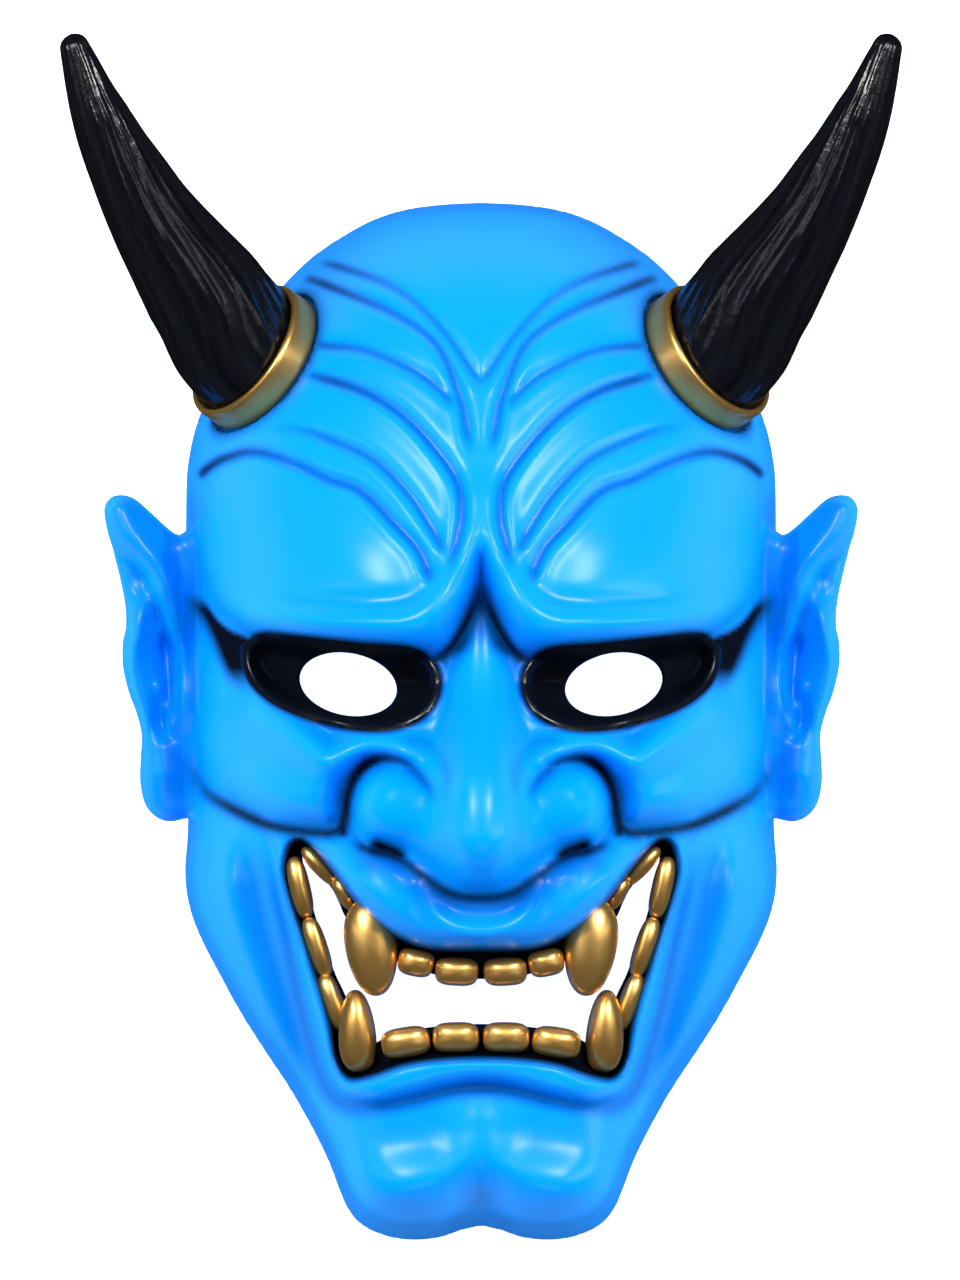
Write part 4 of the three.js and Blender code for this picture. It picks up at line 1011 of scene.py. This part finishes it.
cx, cy, cz = points[quads].mean(axis=1).T
is_inside = np.abs((inside_map.at(cx, cy) - cz) / inside_slope.at(cx, cy)) < 1
is_front = ~is_inside & (outline_share(cx, cy)[0] < WALL_FROM)
skins = [
    skin_piece("face_front", is_front),
    skin_piece("face_walls", ~is_inside & ~is_front),
    skin_piece("face_inside", is_inside),
]

# %% [markdown]
# ## Horns
# A horn is swept along a line that leans out and up. Its skin is drawn into long strands that twist a
# little round it and run together, as bark does, so the grooves follow the length and break up towards the
# tip. A bump map could draw them, but it would leave the horn's outline smooth, so the grooves are in the
# mesh. Each row of strands is a wave round the horn that wanders as it climbs, and its sharp points are the
# grooves between the strands.

# %% Sweeping and turning
def even_places(points, count):
    """Even places along a smooth line in space, with its direction at each."""
    dense = spline(points, 24)
    run = np.concatenate([[0], np.cumsum(np.linalg.norm(np.diff(dense, axis=0), axis=1))])
    at = np.linspace(0, run[-1], count)
    places = np.stack([np.interp(at, run, dense[:, k]) for k in range(3)], axis=1)
    direction = np.gradient(places, axis=0)
    return places, direction / np.linalg.norm(direction, axis=1)[:, None]


def cross_axes(axis):
    """Two directions square to an axis, the first of them level."""
    first = np.cross((0, 0, 1), axis)
    first /= np.linalg.norm(first)
    return first, np.cross(axis, first)


def skin_faces(rings, around):
    """Quads between rings of vertices."""
    faces = []
    for j in range(rings - 1):
        for i in range(around):
            a, b = j * around + i, j * around + (i + 1) % around
            faces.append((a, b, b + around, a + around))
    return faces


def on_side(verts, faces, side):
    """The mesh as it is for the right side, or mirrored for the left."""
    return verts * (side, 1, 1), faces if side > 0 else [face[::-1] for face in faces]


# %% Horns
HORN_COURSE = [(67.5, 84, 47), (79.3, 101, 55.5), (88.6, 117, 61.5), (95.6, 132, 65.5), (100.9, 146.9, 68)]
HORN_RADII = {0: 16.3, 0.13: 16.2, 0.28: 14.9, 0.45: 12.1, 0.64: 9.6, 0.82: 6.9, 1: 3.7}
HORN_TIP = ((0.93, 1.1), (0.75, 2.2), (0.45, 3.0), (0.15, 3.35))
HORN_RINGS, HORN_AROUND = 160, 132
GROOVE_DEPTH = 1.3
WHOLE_TWIST = 0.9
# waves round the horn, weight, phase and how far the strands wander
STRANDS = ((7, 0.8, 0.3, 1.1), (13, 0.8, 1.7, 1.6), (23, 0.75, 4.1, 2.2), (41, 0.45, 2.9, 3))
BAND = {"inner": 17.4, "outer": 19, "length": 8}
GAP = 0.35


def grooves(angle, t):
    """How far the skin is drawn in round the horn, from -1 on top of a strand to 1 in a groove."""
    twist = angle + WHOLE_TWIST * t
    drawn_in = np.zeros(len(angle))
    for waves, weight, phase, wander in STRANDS:
        bend = wander * np.sin(2.3 * t * waves**0.5 + phase) + 0.5 * np.sin(9 * t + 3 * twist + phase)
        drawn_in += weight * (1 - np.abs(np.sin(0.5 * (waves * twist + bend))) * 2)
    return drawn_in / sum(row[1] for row in STRANDS)


def horn(side):
    base = HORN_SEAT["middle"]
    foot, neck = base + HORN_AXIS * GAP, base + HORN_AXIS * BAND["length"]
    places, direction = even_places([foot, neck] + HORN_COURSE, HORN_RINGS)
    direction[0] = HORN_AXIS
    verts, drawn_in = [], []
    angle = 2 * np.pi * np.arange(HORN_AROUND) / HORN_AROUND
    for t, place, axis in zip(np.linspace(0, 1, HORN_RINGS), places, direction):
        first, second = cross_axes(axis)
        groove = grooves(angle, t)
        depth = GROOVE_DEPTH * ramp(t, 0.05, 0.15) * (1 - 0.55 * t)
        radius = along(t, HORN_RADII) - depth * (0.2 + 0.6 * groove)
        spokes = np.cos(angle)[:, None] * first + np.sin(angle)[:, None] * second
        verts.append(place + radius[:, None] * spokes)
        drawn_in.append(groove)
    last = verts[-1]
    for scale, push in HORN_TIP:
        verts.append(places[-1] + direction[-1] * push + (last - places[-1]) * scale)
        drawn_in.append(drawn_in[-1])
    rings = len(verts)
    faces = skin_faces(rings, HORN_AROUND)
    faces.append(tuple(range(HORN_AROUND))[::-1])
    faces.append(tuple(range((rings - 1) * HORN_AROUND, rings * HORN_AROUND)))
    name = "horn_right" if side > 0 else "horn_left"
    obj = mesh_object(name + "_grooved", *on_side(np.vstack(verts), faces, side))
    add_values(obj, "strand", np.clip(0.5 - 0.5 * np.concatenate(drawn_in), 0, 1))
    return obj


horns = {side: horn(side) for side in (-1, 1)}
print("horn:", len(horns[1].data.polygons), "faces")

# %% [markdown]
# ## Bands
# Each band is a plated ring at the foot of a horn, and it hides the joint. A torus would be too round and
# a cut cylinder too sharp to catch the light, so it is turned about the horn's axis from one small profile:
# a flat face with rounded shoulders and a slim bevel at its upper inner edge.

# %% Bands
SHOULDER = {"wide": 0.7, "tall": 1.4, "steps": 6}
BEVEL, FOOT_STEP = 0.3, 0.5
BAND_AROUND = 128


def shoulder(degrees, rise):
    """A quarter of an oval at the band's outer edge, as radius and rise."""
    a, wide = np.radians(degrees), SHOULDER["wide"]
    return BAND["outer"] - wide + wide * np.cos(a), rise + SHOULDER["tall"] * np.sin(a)


def band(side):
    low, high = GAP + SHOULDER["tall"], BAND["length"] - SHOULDER["tall"]
    profile = [(BAND["inner"], GAP), (BAND["outer"] - FOOT_STEP, GAP)]
    profile += [shoulder(degrees, low) for degrees in np.linspace(-90, 0, SHOULDER["steps"])[1:]]
    profile += [shoulder(degrees, high) for degrees in np.linspace(0, 90, SHOULDER["steps"])]
    profile += [(BAND["inner"] + BEVEL, BAND["length"]), (BAND["inner"], BAND["length"] - BEVEL)]
    first, second = cross_axes(HORN_AXIS)
    verts = []
    for radius, rise in profile:
        for i in range(BAND_AROUND):
            a = 2 * np.pi * i / BAND_AROUND
            spoke = np.cos(a) * first + np.sin(a) * second
            verts.append(HORN_SEAT["middle"] + rise * HORN_AXIS + radius * spoke)
    faces = skin_faces(len(profile), BAND_AROUND)
    start = (len(profile) - 1) * BAND_AROUND
    for i in range(BAND_AROUND):
        after = (i + 1) % BAND_AROUND
        faces.append((start + i, start + after, after, i))
    name = "horn_band_right" if side > 0 else "horn_band_left"
    return mesh_object(name + "_ring", *on_side(np.array(verts), faces, side))


bands = {side: band(side) for side in (-1, 1)}
print("band:", len(bands[1].data.polygons), "faces")

# %% [markdown]
# ## Teeth
# A tooth is a rounded block whose section is a superellipse: a high power gives the square front teeth
# and a low one the long fangs, which also narrow to their tip. A bevelled box would need another tool for
# the fangs, and this one formula makes them all. All stand in the gum channel, clear of it.

# %% Sizes of the teeth
# middle x and y, half width, half height, half depth, turn in degrees, squareness, taper towards the tip
UPPER = [
    (6.05, -82.8, 5.4, 3.5, 3.2, 3, 3.3, 0.03),
    (16.2, -80.6, 4.5, 3.4, 3.2, 11, 3.1, 0.03),
    (27.2, -76.7, 6.5, 12.2, 5.0, -7, 2.2, 0.12),
    (34.0, -63.2, 2.2, 4.6, 2.4, -28, 2.4, 0.05),
    (40.0, -56.8, 2.0, 6.4, 2.4, -43, 2.3, 0.05),
]
LOWER = [
    (6.25, -99.1, 5.8, 3.8, 3.2, -1, 3.3, 0),
    (18.7, -100.3, 6.1, 3.8, 3.2, -9, 3.1, 0),
    (30.8, -97.6, 4.6, 10.3, 4.8, -3, 2.3, -0.2),
    (36.7, -90.4, 2.6, 7.4, 2.8, -20, 2.8, 0),
    (40.7, -76.8, 2.6, 7.8, 2.8, -18, 2.8, 0),
    (45, -62.0, 2.6, 7.9, 2.8, -13, 2.8, 0),
]
TOOTH_RINGS, TOOTH_AROUND = 22, 40
BLUNTNESS = 0.92
GUM_CLEARANCE, GUM_MARGIN = 0.2, 0.8
TRIED_PLACES = np.linspace(-0.8, 0.8, 9)
OPEN_GUM_HEIGHT = 62


def tooth_height(spec):
    """The height at which the back of a tooth stands clear of the gum, at the median of its places."""
    x, y, wide, tall, deep, turn, _, _ = spec
    turn = np.radians(turn)
    u, v = np.meshgrid(TRIED_PLACES, TRIED_PLACES)
    back = deep * np.sqrt(np.clip(1 - u * u - v * v, 0.05, 1))
    tx = x + u * wide * np.cos(turn) - v * tall * np.sin(turn)
    ty = y + u * wide * np.sin(turn) + v * tall * np.cos(turn)
    ground = front_map.at(tx, ty) + back + GUM_CLEARANCE
    on_gum = (ring_distance(GUM_RING, tx, ty) > GUM_MARGIN) & (opening_map.at(tx, ty) < 0)
    return float(np.median(ground[on_gum])) if on_gum.any() else OPEN_GUM_HEIGHT


# %% Teeth
def tooth(spec, side):
    x, y, wide, tall, deep, turn, square, taper = spec
    turn, lift = np.radians(turn), tooth_height(spec)
    verts = []
    for j in range(TOOTH_RINGS + 1):
        v = -np.pi / 2 + np.pi * j / TOOTH_RINGS
        for i in range(TOOTH_AROUND):
            a = 2 * np.pi * i / TOOTH_AROUND
            c, s = np.cos(a), np.sin(a)
            reach = (abs(c) ** square + abs(s) ** square) ** (-1 / square)
            flat = np.cos(v) ** BLUNTNESS
            u = wide * reach * c * flat
            k = tall * reach * s * flat
            u *= 1 + taper * k / tall
            verts.append((
                x + u * np.cos(turn) - k * np.sin(turn),
                y + u * np.sin(turn) + k * np.cos(turn),
                deep * np.sin(v) + lift,
            ))
    return on_side(np.array(verts), skin_faces(TOOTH_RINGS + 1, TOOTH_AROUND), side)


def row_of_teeth(name, specs):
    verts, faces, start = [], [], 0
    for spec in specs:
        for side in (-1, 1):
            places, quads_of_tooth = tooth(spec, side)
            verts.append(places)
            faces += [tuple(np.array(quad) + start) for quad in quads_of_tooth]
            start += len(places)
    return mesh_object(name, np.vstack(verts), faces)


upper_teeth = row_of_teeth("upper_gold_teeth", UPPER)
lower_teeth = row_of_teeth("lower_gold_teeth", LOWER)
print("tooth heights:", [round(tooth_height(spec), 1) for spec in UPPER + LOWER])

# %% [markdown]
# ## Finishes
# The blue is a lacquer with a soft shine, painted a deeper blue as shade in the hollows and covered by the
# black spray and the painted shadow where the masks say so. Black horn and gold plating are the two others.
# Images would need unwrapped meshes, so each finish is built of Blender's own noise: the colour and the
# roughness drift a little from place to place, as hand-made finishes do. The helpers below keep each finish
# down to a few lines.

# %% Helpers for finishes
def material(name):
    made = bpy.data.materials.new(name)
    made.use_nodes = True
    tree = made.node_tree
    return made, tree, tree.nodes["Principled BSDF"]


def node(tree, kind, **values):
    """A new node whose inputs or settings are named."""
    made = tree.nodes.new(kind)
    for key, value in values.items():
        if key in made.inputs:
            made.inputs[key].default_value = value
        else:
            setattr(made, key, value)
    return made


def noise(tree, scale, detail=3.0, roughness=0.5):
    place = node(tree, "ShaderNodeTexCoord")
    made = node(tree, "ShaderNodeTexNoise", Scale=scale, Detail=detail, Roughness=roughness)
    tree.links.new(place.outputs["Object"], made.inputs["Vector"])
    return made.outputs["Fac"]


def remap(tree, value, low, high, to_low, to_high):
    made = node(tree, "ShaderNodeMapRange")
    for socket, number in (("From Min", low), ("From Max", high), ("To Min", to_low), ("To Max", to_high)):
        made.inputs[socket].default_value = number
    tree.links.new(value, made.inputs["Value"])
    return made.outputs["Result"]


def drift(tree, scale, detail, low, high):
    """A value that drifts between two limits from place to place."""
    return remap(tree, noise(tree, scale, detail), 0.3, 0.7, low, high)


def mix_colour(tree, share, first, second):
    made = node(tree, "ShaderNodeMix", data_type="RGBA")
    for value, socket in ((first, made.inputs[6]), (second, made.inputs[7])):
        if isinstance(value, tuple):
            socket.default_value = value
        else:
            tree.links.new(value, socket)
    tree.links.new(share, made.inputs[0])
    return made.outputs[2]


def bumped(tree, shader, grain, depth, strength):
    """A fine grain over the surface, with its depth in metres."""
    made = node(tree, "ShaderNodeBump", Strength=strength, Distance=depth)
    tree.links.new(noise(tree, *grain), made.inputs["Height"])
    tree.links.new(made.outputs["Normal"], shader.inputs["Normal"])


def attribute(tree, name):
    return node(tree, "ShaderNodeAttribute", attribute_name=name).outputs["Fac"]


def combined(tree, operation, a, b):
    maths = node(tree, "ShaderNodeMath", operation=operation)
    for value, socket in ((a, maths.inputs[0]), (b, maths.inputs[1])):
        if isinstance(value, (int, float)):
            socket.default_value = value
        else:
            tree.links.new(value, socket)
    return maths.outputs[0]


# %% Blue lacquer
# the third blue is painted shade for the hollows, and the black serves for both the spray and painted shadow
BLUE, BRIGHT_BLUE, SHADE_BLUE = (0.0, 0.25, 0.93, 1), (0.0, 0.265, 0.96, 1), (0.0, 0.095, 0.42, 1)
SPRAY_AND_SHADOW_BLACK = (0.002, 0.003, 0.006, 1)
SHINE, MATT_SHINE, SOCKET_SHINE, DULL_BLACK_SHINE = 0.24, 0.05, 0.8, 0.015
SOCKET_BORDER, GUM_BORDER, POLISHED_RIM = (-2.8, -1.2), (-1.8, 0.4), 1.6
# scale and detail of the noise, and the lowest and highest value
BLUE_MOTTLE, BLUE_ROUGHNESS = (28, 4, 0, 1), (60, 3, 0.28, 0.315)
# scale and detail of the grain, its depth in metres and its strength
BLUE_GRAIN = ((900, 2), 0.00001, 0.3)


def blue_lacquer():
    made, tree, shader = material("blue_lacquer")
    black_spray_and_shadow, shade = attribute(tree, "black_spray_and_shadow"), attribute(tree, "shade")
    blue = mix_colour(tree, drift(tree, *BLUE_MOTTLE), BLUE, BRIGHT_BLUE)
    # painted shade: the blue deepens where the shade mask says
    blue = mix_colour(tree, shade, blue, SHADE_BLUE)
    rim = attribute(tree, "socket")
    socket = remap(tree, rim, *SOCKET_BORDER, 0, 1)
    gum = remap(tree, attribute(tree, "gum"), *GUM_BORDER, 0, 1)
    # the black covers the spray and the painted shadow, the socket and the gum
    black_spray_and_shadow = combined(tree, "MAXIMUM", black_spray_and_shadow, combined(tree, "MAXIMUM", socket, gum))
    tree.links.new(mix_colour(tree, black_spray_and_shadow, blue, SPRAY_AND_SHADOW_BLACK), shader.inputs["Base Color"])
    tree.links.new(drift(tree, *BLUE_ROUGHNESS), shader.inputs["Roughness"])
    # the black of the spray and of the painted shadow is dull, and it is polished on the rolled rim of the
    # socket
    from_rim = combined(tree, "ABSOLUTE", rim, 0)
    black_shine = remap(tree, from_rim, 0, POLISHED_RIM, SOCKET_SHINE, DULL_BLACK_SHINE)
    blue_shine = remap(tree, attribute(tree, "matt"), 0, 1, SHINE, MATT_SHINE)
    gloss = combined(tree, "MULTIPLY", black_spray_and_shadow, combined(tree, "SUBTRACT", black_shine, blue_shine))
    tree.links.new(combined(tree, "ADD", gloss, blue_shine), shader.inputs["Specular IOR Level"])
    bumped(tree, shader, *BLUE_GRAIN)
    return made


# %% Black horn and gold plating
GROOVE_BLACK, STRAND_BLACK = (0.006, 0.007, 0.011, 1), (0.001, 0.0012, 0.002, 1)
HORN_ROUGHNESS, HORN_SHINE, HORN_GRAIN = (240, 4, 0.14, 0.24), 0.4, ((420, 4, 0.6), 0.00025, 0.6)
DEEP_GOLD, PALE_GOLD = (0.86, 0.48, 0.12, 1), (0.91, 0.55, 0.16, 1)
GOLD_MOTTLE, GOLD_ROUGHNESS, GOLD_METAL = (90, 4, 0, 1), (300, 3, 0.3, 0.33), 0.92
GOLD_GRAIN = ((500, 2), 0.00001, 0.15)


def black_horn():
    made, tree, shader = material("black_horn")
    black = mix_colour(tree, attribute(tree, "strand"), GROOVE_BLACK, STRAND_BLACK)
    tree.links.new(black, shader.inputs["Base Color"])
    tree.links.new(drift(tree, *HORN_ROUGHNESS), shader.inputs["Roughness"])
    shader.inputs["Specular IOR Level"].default_value = HORN_SHINE
    bumped(tree, shader, *HORN_GRAIN)
    return made


def gold_plating():
    made, tree, shader = material("gold_plating")
    gold = mix_colour(tree, drift(tree, *GOLD_MOTTLE), DEEP_GOLD, PALE_GOLD)
    tree.links.new(gold, shader.inputs["Base Color"])
    shader.inputs["Metallic"].default_value = GOLD_METAL
    tree.links.new(drift(tree, *GOLD_ROUGHNESS), shader.inputs["Roughness"])
    bumped(tree, shader, *GOLD_GRAIN)
    return made


FINISHES = {"blue_lacquer": blue_lacquer(), "black_horn": black_horn(), "gold": gold_plating()}
print("finishes:", list(FINISHES))

# %% [markdown]
# ## Pieces on the frame
# Nothing on the mask moves. Each piece takes its finish, rides on the mask's one body and replaces its
# plain solid, so that the dressed part can stand in for the plain one.

# %% Finishes, riding and replacing
for obj, solid, finish in [(skin, "face", "blue_lacquer") for skin in skins] + [
    (horns[-1], "horn_left", "black_horn"),
    (horns[1], "horn_right", "black_horn"),
    (bands[-1], "horn_band_left", "gold"),
    (bands[1], "horn_band_right", "gold"),
    (upper_teeth, "upper_teeth", "gold"),
    (lower_teeth, "lower_teeth", "gold"),
]:
    obj.data.materials.append(FINISHES[finish])
    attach(obj, "root")
    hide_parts(solid)

# %% [markdown]
# ## Stage, light and camera
# The mask lies on a white table that glows, so that it stays white. A single large light would give one
# broad reflection, so each light has its own task. On each side a soft box above the brow is mirrored in
# the lacquer, a narrow strip adds a thin highlight, and a tall one lights the horns and ears without being
# mirrored. One more fills the underside of the chin. The sky is brighter the higher it is, apart from the
# darker spot round the camera. The camera hangs far above with a long lens, so that near and far parts are
# drawn at almost the same scale.

# %% Table
TABLE_SIZE, UNDER_RIM = 6, 0.0005
bpy.ops.mesh.primitive_plane_add(size=TABLE_SIZE, location=(0, 0, -UNDER_RIM))
table = bpy.context.active_object
table.name = "table"
white, _, shader = material("table_white")
shader.inputs["Base Color"].default_value = (0.9, 0.9, 0.9, 1)
shader.inputs["Roughness"].default_value = 0.9
shader.inputs["Emission Color"].default_value = (1, 1, 1, 1)
shader.inputs["Emission Strength"].default_value = 1.0
table.data.materials.append(white)
table.visible_glossy = False

# %% Lights
# name, place on the right side and target in metres, width, depth, watts, and whether it is mirrored
SIDE_LIGHTS = (
    ("strip", (0.7, 0.1, 0.8), (0, 0, 0.05), 0.06, 0.8, 0.7, True),
    ("key", (0.4, 0.5, 0.95), (0, -0.02, 0.06), 0.22, 0.26, 7.5, True),
    ("wing", (1.0, 0.0, 0.6), (0, 0, 0.05), 0.25, 0.8, 11.5, False),
)
CHIN_FILL = ("chin_fill", (0, -0.9, 0.8), (0, -0.05, 0.05), 0.6, 0.4, 2.8, False)


def soft_box(name, place, target, width, depth, watts, mirrored):
    lamp = bpy.data.lights.new(name, "AREA")
    lamp.shape = "RECTANGLE"
    lamp.size, lamp.size_y, lamp.energy = width, depth, watts
    obj = bpy.data.objects.new(name, lamp)
    obj.location = place
    obj.rotation_euler = (Vector(target) - Vector(place)).to_track_quat("-Z", "Y").to_euler()
    obj.visible_glossy = mirrored
    bpy.context.scene.collection.objects.link(obj)
    return obj


for side, which in ((-1, "left"), (1, "right")):
    for name, (x, y, z), *rest in SIDE_LIGHTS:
        box = soft_box(which + "_" + name, (side * x, y, z), *rest)
        # a strip is there for its highlight alone
        box.visible_diffuse = name != "strip"
soft_box(*CHIN_FILL)

# %% Sky
SKY_LOW, SKY_HIGH, SKY_RISE = 0.2, 0.75, 0.5
SPOT_FROM, SPOT_TO, SPOT_SHARE = 0.7, 0.97, 0.15
world = bpy.data.worlds.new("studio")
world.use_nodes = True
sky = world.node_tree
direction = node(sky, "ShaderNodeTexCoord")
parts = node(sky, "ShaderNodeSeparateXYZ")
sky.links.new(direction.outputs["Generated"], parts.inputs["Vector"])
rising = remap(sky, parts.outputs["Z"], 0.0, SKY_RISE, SKY_LOW, SKY_HIGH)
spot = remap(sky, parts.outputs["Z"], SPOT_FROM, SPOT_TO, 1, SPOT_SHARE)
sky.links.new(combined(sky, "MULTIPLY", rising, spot), sky.nodes["Background"].inputs["Strength"])
bpy.context.scene.world = world
bpy.context.scene.view_settings.view_transform = "Standard"

# %% Camera
DISTANCE = 10.0
SENSOR, VIEW_HEIGHT = 36, 0.3185
AIM = (-0.00025, -0.0004, 0.05)
camera_data = bpy.data.cameras.new("camera")
camera_data.sensor_width = SENSOR
camera_data.lens = SENSOR * DISTANCE / VIEW_HEIGHT
camera_data.clip_end = 60
camera = bpy.data.objects.new("camera", camera_data)
camera.location = (AIM[0], AIM[1], AIM[2] + DISTANCE)
bpy.context.scene.collection.objects.link(camera)
bpy.context.scene.camera = camera
